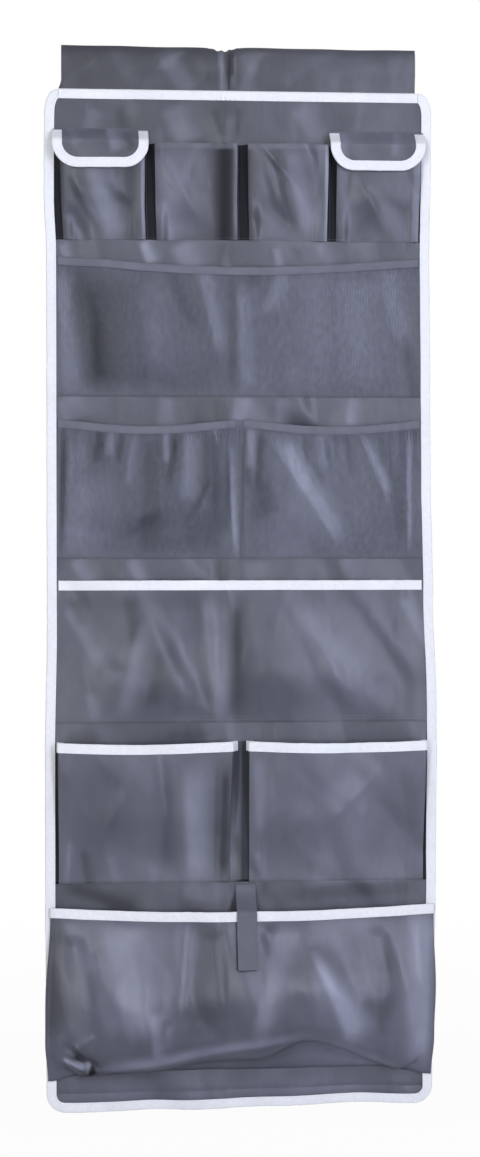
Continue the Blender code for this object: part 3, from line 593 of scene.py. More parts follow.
def bellows(gusset, inset, spread, fold):
    """The left side of a bellows pocket, from its sewn line at x = 0 to where its front
    starts: out, folded back under the front, and round its crease."""
    inward, outward = (gusset + inset) / 2, (gusset - inset) / 2
    reach, rise = math.cos(spread), math.sin(spread)
    points = [(inward * k / 4 * reach, SEWN_PLY + inward * k / 4 * rise) for k in range(5)]
    points += bend(*points[-1], spread, math.pi - 2 * spread, fold)
    x, out = points[-1]
    points += [(x - outward * k / 3 * reach, out + outward * k / 3 * rise) for k in (1, 2, 3)]
    return points + bend(*points[-1], math.pi - spread, spread - math.pi, fold)


def mouth_levels(straight, count):
    """Levels down a pocket, each with how far it has shut by there. Both go from 0 to 1, and
    the levels are close together at the mouth, which is kept straight."""
    levels = np.concatenate([np.linspace(0, straight, 6)[:-1], np.linspace(straight, 1, count)])
    return [(level, max(level - straight, 0) / (1 - straight)) for level in levels]


def bellows_pocket(place, gusset, insets, bulge, sag, open_fold, relief, columns=44, levels=44):
    """The laid-out net of a pocket with bellows sides: open at the mouth and pressed flat at
    its seam. relief is how far its front stands out besides."""
    left, right, drop, height = place
    covers = [(gusset - inset) / 2 + 2 * TAPED_FOLD for inset in insets]
    rows = []
    for level, shut in mouth_levels((TAPE_WIDTH + SEAM_GAP) / height, levels):
        spread = MOUTH_SPREAD * (1 - shut)
        fold = mix(open_fold, TIGHT_FOLD, float(ease(shut * 1.25)))
        west, east = (np.array(bellows(gusset, inset, spread, fold)) for inset in insets)
        west[:, 0] = left[1] + west[:, 0]
        east[:, 0] = right[1] - east[:, 0]
        start, end = west[-1], east[-1]
        span = end[0] - start[0]
        station = span * np.linspace(0, 1, columns + 2)[1:-1]
        share = station / span
        folded = mix(start[1], end[1], share)
        from_side = np.minimum(station - covers[0], span - station - covers[1])
        flattened = mix(folded, SEWN_PLY, ease(from_side / FRONT_RAMP))
        closing = float(ease((shut - 0.45) / 0.55))
        opened = folded + bulge * np.sin(math.pi * share)
        loose = np.sin(math.pi * share) ** 0.6 * (1 - closing)
        out = mix(opened, flattened, closing) + loose * relief(share, level * height)
        front = np.stack([start[0] + station, out], axis=-1)
        x, out = np.concatenate([
            [(left[0], SEWN_PLY)], west, front, east[::-1], [(right[0], SEWN_PLY)]
        ]).T
        across = (x - left[0]) / (right[0] - left[0])
        lowered = sag * (1 - shut) ** 2 * np.sin(math.pi * across)
        rows.append(flat(x, out, drop + level * height + lowered))
    return np.array(rows)


def bellows_shade(net, folds, ridge_shade, sides):
    """The painted light and shade of a bellows pocket: light and shade painted along folds on its
    front, a painted highlight on the ridge where it is creased at the right, a painted highlight
    along its mouth, and painted shade on its tucked-in sides, where no light gets in."""
    shade = painted_fold_shading(net, folds)
    shade[:3] += 0.4
    shade[:, -TUCKED_COLUMNS - RIDGE_COLUMNS:-TUCKED_COLUMNS] += ridge_shade
    shade[:, :TUCKED_COLUMNS], shade[:, -TUCKED_COLUMNS:] = sides
    return shade


def repeat_tree(name, start, sizes, dye, made):
    """A node tree with named inputs: what it starts from, its sizes and its material."""
    tree = bpy.data.node_groups.new(name, "GeometryNodeTree")
    for socket, kind in [(start, "Geometry"), *((size, "Float") for size in sizes),
                         (dye, "Material")]:
        tree.interface.new_socket(socket, in_out="INPUT", socket_type=f"NodeSocket{kind}")
    tree.interface.new_socket(made, in_out="OUTPUT", socket_type="NodeSocketGeometry")
    return tree, tree.nodes.new("NodeGroupInput").outputs


def end_tree(tree, spots, instance, rotation, scale, dye):
    """Ends a node tree: lays an instance at each spot, makes them all real and dyes them."""
    laid = node(tree, "GeometryNodeInstanceOnPoints", [
        ("Points", spots), ("Instance", instance), ("Rotation", rotation), ("Scale", scale)
    ])
    real = node(tree, "GeometryNodeRealizeInstances", [("Geometry", laid.outputs[0])])
    dyed = node(tree, "GeometryNodeSetMaterial", [
        ("Geometry", real.outputs[0]), ("Material", dye)
    ])
    tree.links.new(dyed.outputs[0], tree.nodes.new("NodeGroupOutput").inputs[0])
    return tree


def stitch_tree():
    """Node tree that lays stitches along the edges of a mesh."""
    tree, given = repeat_tree(
        "stitches", "Seams", ("Pitch", "Stitch length", "Thread thickness"), "Thread", "Stitches"
    )
    seams = node(tree, "GeometryNodeMeshToCurve", [("Mesh", given["Seams"])]).outputs[0]
    spots = node(
        tree, "GeometryNodeCurveToPoints", [("Curve", seams), ("Length", given["Pitch"])],
        mode="LENGTH"
    ).outputs
    bead = node(tree, "GeometryNodeMeshIcoSphere", [("Radius", 0.5), ("Subdivisions", 1)])
    thick, long = given["Thread thickness"], given["Stitch length"]
    size = node(tree, "ShaderNodeCombineXYZ", [(0, thick), (1, thick), (2, long)])
    return end_tree(
        tree, spots["Points"], bead.outputs["Mesh"], spots["Rotation"], size.outputs[0],
        given["Thread"]
    )


stitches = stitch_tree()


def grow(name, points, edges, faces, tree, material, sizes):
    """Runs a node tree on a mesh and keeps what it makes as a plain mesh piece."""
    mesh = bpy.data.meshes.new(name)
    mesh.from_pydata(points, edges, faces)
    piece = placed(name, mesh)
    modifier = piece.modifiers.new("Grow", "NODES")
    modifier.node_group = tree
    given = [item for item in tree.interface.items_tree if item.in_out == "INPUT"]
    for item, value in zip(given[1:], (*sizes, material)):
        modifier[item.identifier] = value
    settle(piece)
    piece.data.name = name
    piece.data.materials.clear()
    piece.data.materials.append(material)
    piece.data.shade_smooth()
    return piece


def sew(name, seams, body="panel", slot="coated_cloth", above=CLOTH / 2):
    """Lays stitches forward of lines of laid-out points, as one piece that rides on a body."""
    points, edges = [], []
    for seam in seams:
        first = len(points)
        points += hang(forward_of(seam, above)).tolist()
        edges += [(k, k + 1) for k in range(first, len(points) - 1)]
    thread = white_thread if slot == "white_tape" else grey_thread
    sizes = STITCH_PITCH, STITCH_LENGTH, THREAD
    return belongs(grow(name, points, edges, [], stitches, thread, sizes), body)


def forward_of(points, distance):
    """Points moved forward by a distance."""
    return points + np.array([0, -distance, 0])


def nearest(values, wanted):
    return int(np.argmin(np.abs(values - wanted)))


def row_above_seam(net, distance=SEAM_INSET):
    """The row of a laid-out ply that lies a distance above its bottom edge."""
    down = -net[:, 0, 2]
    return net[nearest(down, down[-1] - distance)]


def cut_size(points):
    """The flat width and length of a ply, along its widest row and its longest column."""
    return float(lengths_along(points, 1)[:, -1].max()), float(lengths_along(points, 0)[-1].max())


def thread_finish(name, colour):
    """Twisted thread: a little uneven in colour along its length."""
    material, tree, shader = new_material(name, 0.6)
    figured(tree, shader, colour, 0.25, (streaky(tree, 900, 0.8, 1, 2), 1.0, 0, 0))
    return material


grey_thread = thread_finish("grey_thread", (0.105, 0.108, 0.135))
white_thread = thread_finish("white_thread", (0.74, 0.77, 0.83))


small_nets = []
for k, insets in enumerate(SMALL_INSETS):
    name = f"small_pocket_{k + 1}"
    place = sewn_place(name, SMALL_COUNT, k)
    width = sewn_width(place)
    creases = [
        ((start - 0.5) * width, high, (end - 0.5) * width, *rest)
        for start, high, end, *rest in SMALL_CREASES[k]
    ]
    front_lie = loose_front(place, (0.034, 0.10, 0.75, 1.8), 21 + k, creases, hem=SMALL_HEM)

    def small_relief(share, down):
        covered = k in (0, SMALL_COUNT - 1)
        return front_lie(share, down) * (ease((down - UNDER_FLAP) / 0.03) if covered else 1)

    net = bellows_pocket(place, SMALL_GUSSET, insets, SMALL_BULGE, 0, SMALL_FOLD, small_relief)
    small_nets.append(net)
    # Each small pocket's cloth is set darker than the panel's, as painted shade on the same cloth
    cloth = coated_cloth(f"small_pocket_cloth_{k + 1}", (0.062, 0.065, 0.086), 1.3 * (k + 1))
    shade = bellows_shade(net, SMALL_FOLD_SHADING, SMALL_RIDGE_HIGHLIGHTS[k], (TUCKED_SHADE, TUCKED_SHADE))
    shade[:, TUCKED_COLUMNS:TUCKED_COLUMNS + len(LEFT_EDGE_SHADE)] -= LEFT_EDGE_SHADE
    pocket = ply(f"hung_{name}", hang(net), CLOTH, cloth, shade)
    belongs(pocket, "panel", name)
    hem_row = nearest(-net[:, 0, 2], place[2] + SMALL_HEM - 0.001)
    lines = [net[hem_row, FRONT], row_above_seam(net)]
    sew(f"{name}_stitches", lines)


# Wide net pocket
# A flat pocket of fine warp-knitted net over the whole width, so that what is in it shows. A
# ribbed elastic band is folded over its mouth, which sags between the sewn sides.
# How far forward a ply lies where the white tape is between it and the panel
TAPED_PLY = SEWN_PLY + SEAM_GAP + TAPE
NET_MESH = 0.0021
ELASTIC_WIDTH = 0.009
ELASTIC = 0.0007
NET_DEPTHS = (0.009, 0.012)
NET_SAG = 0.0125
NET_FOLDS = 5
NET_FOLD_DEPTH = 0.0016
# Light and shade painted along the wide net's folds, in millimetres
NET_FOLD_SHADING = [
    (-202, 191, -186, 349, 5.6, 14.6, 0.85), (-179, 198, -163, 349, 15, 19, -0.37),
    (-145, 198, -152, 349, 22.5, 22.5, -0.35), (-102, 200, -89, 346, 13.5, 15.8, 0.39),
    (-82, 196, -48, 274, 10.1, 6.7, -0.35), (-43, 191, -19, 304, 10.1, 5.6, 0.98),
    (2, 211, 10, 346, 6.7, 11.2, 0.78), (-10, 191, -8, 349, 5.6, 5.6, -0.31),
    (24, 191, 10, 223, 9, 9, -0.31), (53, 200, 30, 254, 9, 9, 0.72),
    (128, 193, 147, 349, 24.7, 27, 0.45), (168, 191, 188, 285, 14.6, 11.2, 0.78),
    (192, 279, 201, 349, 6.7, 7.9, -0.4), (78, 193, 91, 349, 15.8, 15.8, 0.16),
    (89, 187, 91, 351, 78.8, 78.8, 0.42)
]
SEWN_STEP = 0.0015
STITCH_INSET = 0.0016
# Of a folded tape's outline: the points where it is stitched, on its front and its back
STITCHED = (12, 1)


def knitted_net(name, colour, roughness=0.4):
    """Fine net: thin knitted threads round rows of small six-sided holes."""
    material, tree, shader = new_material(name, roughness)
    cloth = node(tree, "ShaderNodeUVMap", uv_map="cloth").outputs[0]
    rate = 4 * math.pi / (math.sqrt(3) * NET_MESH)
    waves = []
    for turn in (0, 60, 120):
        facing = (math.cos(math.radians(turn)) * rate, math.sin(math.radians(turn)) * rate, 0)
        inputs = [(0, cloth), (1, facing)]
        along = node(tree, "ShaderNodeVectorMath", inputs, operation="DOT_PRODUCT")
        waves.append(maths(tree, "COSINE", along.outputs["Value"]))
    holes = maths(tree, "ADD", maths(tree, "ADD", waves[0], waves[1]), waves[2])
    tree.links.new(ranged(tree, holes, 0.9, 0.3), shader.inputs["Alpha"])
    net = figured(
        tree, shader, colour, 0.3,
        (patchy(tree, 0.14, 11, 0.15, 3.0, 1, 3.0), 0.15, 0.004, 1.0),
        (patchy(tree, 0.12, 34, 0.3, 3.0, 2), 0.15, 0.0006, 0.6),
        (streaky(tree, 260, 0.1, 2.2, 2), 1.4, 0.0005, 0.5), (holes, 0, 0.0002, 0.5)
    )
    shade_cloth(tree, shader, net, roughness)
    return material


def ribbed_elastic(name, colour):
    """Knitted elastic: fine ribs along the band and a soft dull face."""
    material, tree, shader = new_material(name, 0.5, 0.4, sheen=0.2)
    figured(
        tree, shader, colour, 0.25, (streaky(tree, 60, 0, 1, 4), 0.8, 0.0008, 0.3),
        (weave(tree, 0.0009, 0.0013), 0.4, 0.0002, 0.8)
    )
    return material


def flat_pocket(place, tape_width, depths, sag, relief, folds=None, columns=130, levels=44):
    """The laid-out net of a flat pocket that stands off the panel between its sewn sides.
    folds(share across, how shut) are its folds, and relief the rest of what stands out."""
    left, right, drop, height = place
    west, east = left[1] + SEWN_STEP, right[1] - SEWN_STEP
    x = np.concatenate([[left[0], left[1]], np.linspace(west, east, columns), [right[1], right[0]]])
    share = np.clip((x - left[1]) / sewn_width(place), 0, 1)
    inside = np.where((x > left[1]) & (x < right[1]), 1.0, 0.0)
    from_side = np.minimum(share, 1 - share)
    across = (x - left[0]) / (right[0] - left[0])
    stands = [(0, depths[0]), (0.4, depths[1]), (0.58, depths[1]), (1, 0)]
    rows = []
    for level, shut in mouth_levels((tape_width + SEAM_GAP) / height, levels):
        stand = float(eased(stands, shut)) * ease(from_side / 0.2)
        over_tape = (TAPED_PLY - SEWN_PLY) * (1 - float(ease(shut / 0.15)))
        loose = ease(from_side / 0.06) * float(ease((1 - shut) / 0.25))
        extra = relief(share, level * height)
        if folds:
            extra = folds(share, shut) + extra
        out = SEWN_PLY + inside * (over_tape + stand) + loose * extra
        lowered = sag * (1 - shut) ** 2 * np.sin(math.pi * across)
        rows.append(flat(x, np.maximum(out, SEWN_PLY), drop + level * height + lowered))
    return np.array(rows)


def unit(vectors):
    return vectors / np.linalg.norm(vectors, axis=-1, keepdims=True)


def directions(path):
    """The direction of a path at each point, and how much a mitre widens there."""
    legs = unit(np.diff(path, axis=0))
    before = np.concatenate([legs[:1], legs])
    along = unit(before + np.concatenate([legs, legs[-1:]]))
    return along, 1 / np.sum(along * before, axis=-1)


def folded_loop(front, back, width, thickness, roundness):
    """The closed outline of a tape folded over an edge, as (across, outward) points. across
    is forward of what it binds, and outward is past that edge."""
    inner = SEAM_GAP + thickness - width
    start = SEAM_GAP + thickness - roundness
    middle, half = (front - back) / 2, (front + back) / 2
    legs = [inner, inner + STITCH_INSET, mix(inner, start, 0.55), start]

    def side(far, near, half, roundness, turns):
        turned = [
            (middle + half * math.cos(t), start + roundness * math.sin(t)) for t in turns
        ]
        return [(far, o) for o in legs] + turned + [(near, o) for o in legs[::-1]]

    turns = np.linspace(math.pi, 0, 8)[1:-1]
    return np.array(side(-back, front, half, roundness, turns) + side(
        front - thickness, thickness - back, half - thickness, roundness - thickness, turns[::-1]
    ))


def pucker(path, spacing, size, seed):
    """Small uneven swellings along a seam, from 0 to size."""
    random = np.random.default_rng(seed)
    place = lengths_along(path, 0) / spacing
    values = random.uniform(0, size, int(place[-1]) + 4)
    whole = np.floor(place).astype(int)
    return mix(values[whole], values[whole + 1], ease(place - whole))


def folded_rings(path, across, outward, loop, seed, puff=0.0004, stray=0.0003):
    """Sections of a folded tape at each point of a path, a little puckered and uneven."""
    puffed = [pucker(path, 0.006, puff, seed), pucker(path, 0.008, puff, seed + 1)]
    strayed = pucker(path, 0.011, stray, seed + 2) - pucker(path, 0.007, stray, seed + 3)
    middle = (loop[:, 0].max() + loop[:, 0].min()) / 2
    reach = loop[:, 0].max() - middle
    side = np.clip((loop[:, 0] - middle) / reach * 1.3, -1, 1)
    forward = np.clip(side, 0, 1) * puffed[0][:, None] - np.clip(-side, 0, 1) * puffed[1][:, None]
    a = (loop[:, 0] + forward)[..., None]
    outer = ease((loop[:, 1] - loop[:, 1].min()) / 0.004)
    o = (loop[:, 1] + outer * np.maximum(strayed, -0.0001)[:, None])[..., None]
    return path[:, None] + across[:, None] * a + outward[:, None] * o


def swept(name, rings, material):
    """A closed piece through hung rings of points, with a face at each end."""
    count, around = rings.shape[:2]
    index = np.arange(count * around).reshape(count, around)
    following = np.roll(index, -1, axis=1)
    quads = [index[:-1], following[:-1], following[1:], index[1:]]
    faces = np.stack(quads, axis=-1).reshape(-1, 4).tolist()
    faces += [index[0].tolist(), index[-1].tolist()]
    girth = lengths_along(rings, 1)
    along = np.broadcast_to(lengths_along(rings, 0).mean(axis=1)[:, None], girth.shape)
    piece = piece_of(name, rings, faces, (along, girth), material)
    bm = bmesh.new()
    bm.from_mesh(piece.data)
    bmesh.ops.recalc_face_normals(bm, faces=bm.faces)
    bm.to_mesh(piece.data)
    bm.free()
    piece.data.set_sharp_from_angle(angle=math.radians(50))
    return piece


def bind(rings, name, node_name, slot, body="panel", sewn=None):
    """A folded tape through its rings, and the stitching on its front and back."""
    tape = belongs(swept(name, hang(rings), bindings[slot][1]), body, node_name)
    lines = [rings[2:-2, column] for column in STITCHED]
    return [tape, sew(sewn or f"{name}_stitches", lines, body, slot, above=0)]


def bound_pocket(net, name, node_name, binding, binding_node, seam, seed, material, shade,
                 slot="coated_cloth", tape="white_tape", skipped=2, lines=None):
    """Folds a tape over a pocket's mouth along its slope, sews its seam and makes its ply,
    with painted shade along that seam, where the ply meets the panel."""
    path = net[0, skipped:-skipped]
    along, mitre = directions(path)
    up = unit(path - net[2, skipped:-skipped])
    across = unit(np.cross(along, up)) * mitre[:, None]
    trim = bind(
        folded_rings(path, across, up, bindings[tape][0], seed), binding, binding_node, tape
    )
    trim.append(sew(seam, lines or [row_above_seam(net)], slot=slot))
    # Painted shade along the bottom seam, where the ply meets the panel
    above_seam = net[..., 2] - net[-1, :, 2]
    shade = shade - 0.45 * np.exp(-((above_seam / 0.0022) ** 2))
    pocket = belongs(ply(name, hang(net), CLOTH, material, shade), "panel", node_name)


# The outline and the finish of what the pockets are bound with
elastic = ribbed_elastic("grey_elastic_band", (0.138, 0.144, 0.18))
bindings = {"grey_elastic": (folded_loop(0.0016, 0.0013, ELASTIC_WIDTH, ELASTIC, 0.0012), elastic)}
grey_net = knitted_net("grey_net", (0.104, 0.11, 0.143))
net_look = {"material": grey_net, "slot": "knitted_net", "tape": "grey_elastic"}


def net_folds(share, shut):
    strength = float(eased([(0, 0.35), (0.12, 1), (0.75, 0.35), (1, 0)], shut))
    waves = (1 - np.cos(2 * math.pi * NET_FOLDS * (share + 0.03 * np.sin(9 * share)))) / 2
    return NET_FOLD_DEPTH * strength * waves


place = sewn_place("wide_net_pocket")
creases = [(-0.03, 0, -0.045, 0.14, 0.008, 0.002)]
relief = loose_front(place, (0.045, 0.09, 0.2, 2.2), 31, creases)
net = flat_pocket(place, ELASTIC_WIDTH, NET_DEPTHS, NET_SAG, relief, net_folds)
bound_pocket(
    net, "hung_wide_net", "wide_net_pocket", "hung_wide_net_elastic", "wide_net_elastic",
    "wide_net_seam", 40, shade=painted_fold_shading(net, NET_FOLD_SHADING), **net_look
)


# Gathered net pockets
# Two fuller pockets of the same net. Their elastic was stretched as it was sewn on, so it
# draws the mouth into small uneven gathers that die out down the net.
GATHERED_DEPTHS = (0.0085, 0.016)
GATHERED_SAG = 0.009
GATHERS = 11
GATHER_DEPTH = 0.0042
GATHERED_CREASES = {
    "left": [(-0.055, 0.01, -0.045, 0.14, 0.01, 0.003)],
    "right": [(-0.05, 0.02, 0.03, 0.13, 0.012, 0.004), (0.034, 0.0, 0.062, 0.1, 0.005, 0.0035)],
}
# Light and shade painted along the gathers and folds of each gathered net, in millimetres
GATHERED_FOLD_SHADING = {
    "left": [
        (-183, 373, -189, 532, 9, 14.6, 0.68), (-168, 425, -161, 532, 20.2, 24.7, 0.42),
        (-145, 378, -150, 412, 3.4, 4.5, 0.97), (-118, 380, -127, 448, 4.5, 6.7, 0.68),
        (-85, 378, -85, 421, 3.9, 3.9, 1.23), (-55, 376, -62, 468, 9, 10.1, 1.03),
        (-30, 378, -25, 396, 2.8, 2.8, 0.68), (-12, 373, -4, 532, 3.4, 3.4, 1.38),
        (-158, 378, -163, 423, 4.5, 5.6, -0.56), (-133, 380, -138, 421, 3.9, 3.9, -0.47),
        (-100, 382, -105, 532, 8, 13.5, -0.37), (-71, 380, -84, 448, 3.9, 4.5, -0.47),
        (-36, 378, -32, 472, 10, 10, -0.33), (-199, 373, -201, 532, 3.4, 3.4, -0.47),
        (-51, 459, -46, 532, 15.8, 15.8, -0.14)
    ],
    "right": [
        (13, 373, 10, 427, 5.1, 5.1, 1.31), (35, 378, 120, 513, 10.1, 9, 1.23),
        (55, 391, 73, 457, 9, 6.7, 0.55), (94, 380, 91, 432, 4.5, 4.5, 0.68),
        (136, 382, 170, 457, 3.9, 6.7, 1.23), (193, 373, 192, 526, 2.8, 2.8, 1.38),
        (30, 470, 55, 532, 24.7, 27, 0.42), (25, 378, 19, 450, 4.5, 4.5, -0.47),
        (70, 380, 93, 450, 6.7, 7.9, -0.33), (117, 380, 129, 434, 5.6, 5.6, -0.37),
        (161, 380, 188, 517, 6.7, 9, -0.33), (4, 380, 2, 526, 2.2, 2.2, -0.56),
        (100, 369, 106, 533, 84.4, 84.4, 0.52)
    ],
}

for k, (side, seed) in enumerate((("left", 50), ("right", 60))):
    place = sewn_place(f"{side}_gathered_pocket", 2, k)
    phases = np.random.default_rng(seed).uniform(0, 2 * math.pi, 3)

    def gathers(share, shut):
        """Pleats of uneven width: narrow ridges with wider hollows, deepest just below the
        elastic."""
        uneven = share + 0.02 * np.sin(11 * share + phases[0])
        uneven = uneven + 0.012 * np.sin(23 * share + phases[1])
        pleats = np.abs(np.sin(math.pi * GATHERS * uneven)) ** 1.6
        deep = 0.75 + 0.35 * np.sin(17 * share + phases[2])
        strength = float(eased([(0, 0.3), (0.07, 1), (0.3, 0.4), (0.6, 0.12), (1, 0)], shut))
        return GATHER_DEPTH * strength * deep * pleats

    relief = loose_front(
        place, (0.04, 0.08, -0.5, 2.0), seed, GATHERED_CREASES[side], free_below=0.05
    )
    net = flat_pocket(
        place, ELASTIC_WIDTH, GATHERED_DEPTHS, GATHERED_SAG, relief, gathers, columns=110
    )
    bound_pocket(
        net, f"hung_{side}_gathered_net", f"{side}_gathered_pocket",
        f"hung_{side}_gathered_elastic", f"{side}_gathered_elastic", f"{side}_gathered_seam",
        seed + 4, shade=painted_fold_shading(net, GATHERED_FOLD_SHADING[side]),
        lines=[row_above_seam(net), net[6:-1, 0 if side == "right" else -1]], **net_look
    )


# Wide cloth pocket
# One shallow pocket of coated cloth over the whole width. White bias tape is folded over its
# mouth and stitched through, and its cloth still shows the folds that it was packed in.
WIDE_DEPTHS = (0.0085, 0.0075)
WIDE_CREASES = [
    (-0.032, -0.02, -0.026, 0.17, 0.008, 0.0018), (0.04, 0.0, 0.13, 0.15, 0.018, 0.0035)
]
SECOND_SEAM = 0.004
# Light and shade painted along the wide pocket's folds, in millimetres
WIDE_FOLD_SHADING = [
    (-39, 556, -21, 715, 10.1, 9, 1.3), (-3, 556, -8, 715, 9, 9, -0.61),
    (-199, 574, -154, 648, 6.7, 9, 0.69), (-107, 587, -134, 709, 6.7, 10.1, 0.69),
    (-127, 562, -118, 625, 9, 9, -0.48), (-89, 621, -102, 695, 7.9, 7.9, -0.42),
    (-73, 565, -57, 711, 10.1, 10.1, 0.34), (55, 574, 163, 706, 20.2, 22.5, 0.55),
    (181, 562, 215, 628, 7.9, 9, 0.83), (-188, 567, -179, 603, 6.7, 6.7, -0.48),
    (-170, 673, -163, 709, 5.6, 5.6, 0.48), (30, 572, 66, 706, 11.2, 11.2, -0.24),
    (123, 567, 201, 684, 10.1, 10.1, -0.18), (111, 549, 123, 718, 78.8, 78.8, 0.38)
]


def bias_tape(name, colour):
    """Woven tape in a fine twill, slightly crinkled where it is stitched down."""
    material, tree, shader = new_material(name, 0.55, 0.35, sheen=0.1)
    slanted = maths(tree, "ADD", *on_cloth(tree))
    twill = as_height(tree, threads(tree, slanted, 0.0009))
    figured(
        tree, shader, colour, 0.13, (streaky(tree, 16, 0.2, 2.5, 3), 0.9, 0, 0),
        (streaky(tree, 230, 0.3, 1, 3), 0.6, 0.001, 0.6), (twill, 0.2, 0.00012, 0.5)
    )
    return material


def taped(front, back, roundness):
    """The outline of white tape folded over an edge."""
    return folded_loop(front, back, TAPE_WIDTH, TAPE, roundness)


white_tape = bias_tape("white_bias_tape", (0.86, 0.875, 0.9))
TAPED_MOUTH = CLOTH / 2 + SEAM_GAP + TAPE
bindings["white_tape"] = taped(TAPED_MOUTH, TAPED_MOUTH, 0.001), white_tape

place = sewn_place("wide_pocket")
relief = loose_front(place, (0.065, 0.05, 0.85, 2.2), 71, WIDE_CREASES)
net = flat_pocket(place, TAPE_WIDTH, WIDE_DEPTHS, 0, relief)
# The wide pocket's cloth is set a little paler than the panel's, as painted light on the same cloth
bound_pocket(
    net, "hung_wide_pocket", "wide_pocket", "hung_wide_binding", "wide_pocket_binding",
    "wide_pocket_seam", 75, coated_cloth("wide_pocket_cloth", (0.072, 0.0755, 0.097), 7.1),
    painted_fold_shading(net, WIDE_FOLD_SHADING),
    lines=[row_above_seam(net), row_above_seam(net, SEAM_INSET + SECOND_SEAM)]
)


# Large cloth pockets
# Two roomier pockets with bellows sides. The white tape on each mouth runs over the front and
# on round both folds of the bellows, down to the sewn sides.
LARGE_GUSSET = 0.016
LARGE_INSETS = {"left": (0.004, 0.0115), "right": (0.005, 0.004)}
LARGE_BULGE = 0.003
LARGE_SAG = 0.003
LARGE_CREASES = {
    "left": [(0.015, 0.0, 0.03, 0.13, 0.012, 0.004), (-0.06, 0.12, -0.02, 0.05, 0.006, 0.0015)],
    "right": [(-0.08, 0.0, -0.083, 0.14, 0.008, 0.003), (-0.02, 0.1, 0.05, 0.03, 0.01, 0.002)],
}
# Painted shade on the large pockets' tucked-in sides; on the left pocket's right side, whose gusset
# shows, it runs from faint painted light at the front's fold to painted shade at its seam
FADING_SIDE_SHADE = np.concatenate([np.full(14, -0.1), np.linspace(0.1, -0.6, 6)])
LARGE_SIDE_SHADES = {"left": (TUCKED_SHADE, FADING_SIDE_SHADE), "right": (-0.7, TUCKED_SHADE)}
# Light and shade painted along the large pockets' folds, in millimetres
LARGE_FOLD_SHADING = {
    "left": [
        (-55, 742, -49, 900, 14.6, 12.4, 1.02), (-28, 742, -28, 898, 4.5, 4.5, -0.39),
        (-190, 835, -195, 893, 4.5, 4.5, 0.42), (-177, 846, -168, 895, 4.5, 5.6, -0.39),
        (-147, 853, -138, 893, 5.6, 5.6, 0.3), (-80, 763, -84, 886, 7.9, 7.9, -0.22),
        (-159, 751, -136, 841, 27, 27, -0.13), (-18, 740, -19, 900, 6.7, 6.7, -0.66),
        (-7, 740, -7, 900, 2.9, 2.9, 0.96)
    ],
    "right": [
        (16, 740, 20, 839, 6.7, 5.6, 0.54), (15, 850, 30, 893, 5.6, 6.7, 0.48),
        (44, 751, 66, 886, 13.5, 13.5, -0.13), (100, 763, 156, 853, 27, 27, 0.18),
        (179, 751, 201, 864, 9, 9, -0.13), (66, 866, 123, 891, 7.9, 7.9, -0.22),
        (105, 700, 105, 940, 85, 85, 0.22)
    ],
}

for k, (side, seed) in enumerate((("left", 80), ("right", 90))):
    name = f"{side}_large_pocket"
    place = sewn_place(name, 2, k)
    relief = loose_front(place, (0.055, 0.06, 0.75, 2.0), seed, LARGE_CREASES[side])
    net = bellows_pocket(
        place, LARGE_GUSSET, LARGE_INSETS[side], LARGE_BULGE, LARGE_SAG, TAPED_FOLD, relief,
        columns=70
    )
    # The large pockets' cloth is set paler than the panel's, as painted light on the same cloth
    bound_pocket(
        net, f"hung_{name}", name, f"hung_{side}_large_binding", f"{side}_large_binding",
        f"{side}_large_seam", seed + 4,
        coated_cloth(f"{name}_cloth", (0.094, 0.0985, 0.126), 0.1 * seed),
        bellows_shade(net, LARGE_FOLD_SHADING[side], 0, LARGE_SIDE_SHADES[side])
    )


# Bottom pocket
# The deepest pocket, of the same cloth and as wide as the whole panel. Its mouth is bound with
# white tape, its sides are rolled out over the edge tape, and its belly slumps over its seam.
BOTTOM_MOUTH_DEPTH = 0.013
BOTTOM_BELLY_DEPTH = 0.036
BOTTOM_SIDE_ROLL = 0.005
BOTTOM_RIM = 0.0025
MOUTH_RIMS = (0.0075, 0.0045)
BOTTOM_SAG = 0.005
BOTTOM_SLUMP = 0.010
BOTTOM_LIFTS = [(-0.2, 0.005), (0.015, 0.0235), (0.072, 0.043), (0.196, 0.006)]
BOTTOM_TUCK = 0.004
LOWEST = 0.86
TUCK_AT = 0.91
OVER_TAPE_PLY = SEWN_PLY + CLOTH + TAPE + 2 * SEAM_GAP
# Of its columns: where its front starts
BOTTOM_FRONT = slice(16, -16)
BOTTOM_BELLY = [(0, 0), (0.5, 1), (0.7, 0.97), (0.82, 0.74), (0.88, 0.34), (0.93, 0.14), (1, 0)]
BOTTOM_CREASES = [
    (-0.06, 0.02, -0.064, 0.115, 0.006, 0.002), (-0.12, 0.01, -0.108, 0.15, 0.028, 0.006),
    (-0.032, 0.01, -0.02, 0.16, 0.022, -0.005), (0.045, 0.005, 0.03, 0.15, 0.015, 0.003),
    (0.075, 0.045, 0.14, 0.14, 0.014, 0.004), (0.2, 0.01, 0.2, 0.15, 0.014, 0.003),
    (-0.2, 0.15, -0.155, 0.18, 0.008, -0.008), (-0.19, 0.148, -0.17, 0.17, 0.003, 0.004),
    (-0.165, 0.14, -0.2, 0.165, 0.005, 0.003), (0.115, 0.02, 0.15, 0.1, 0.014, -0.002),
    (-0.165, 0.03, -0.17, 0.11, 0.012, -0.002), (-0.085, 0.12, -0.095, 0.165, 0.006, -0.002),
    (0.09, 0.14, 0.17, 0.165, 0.006, 0.002)
]
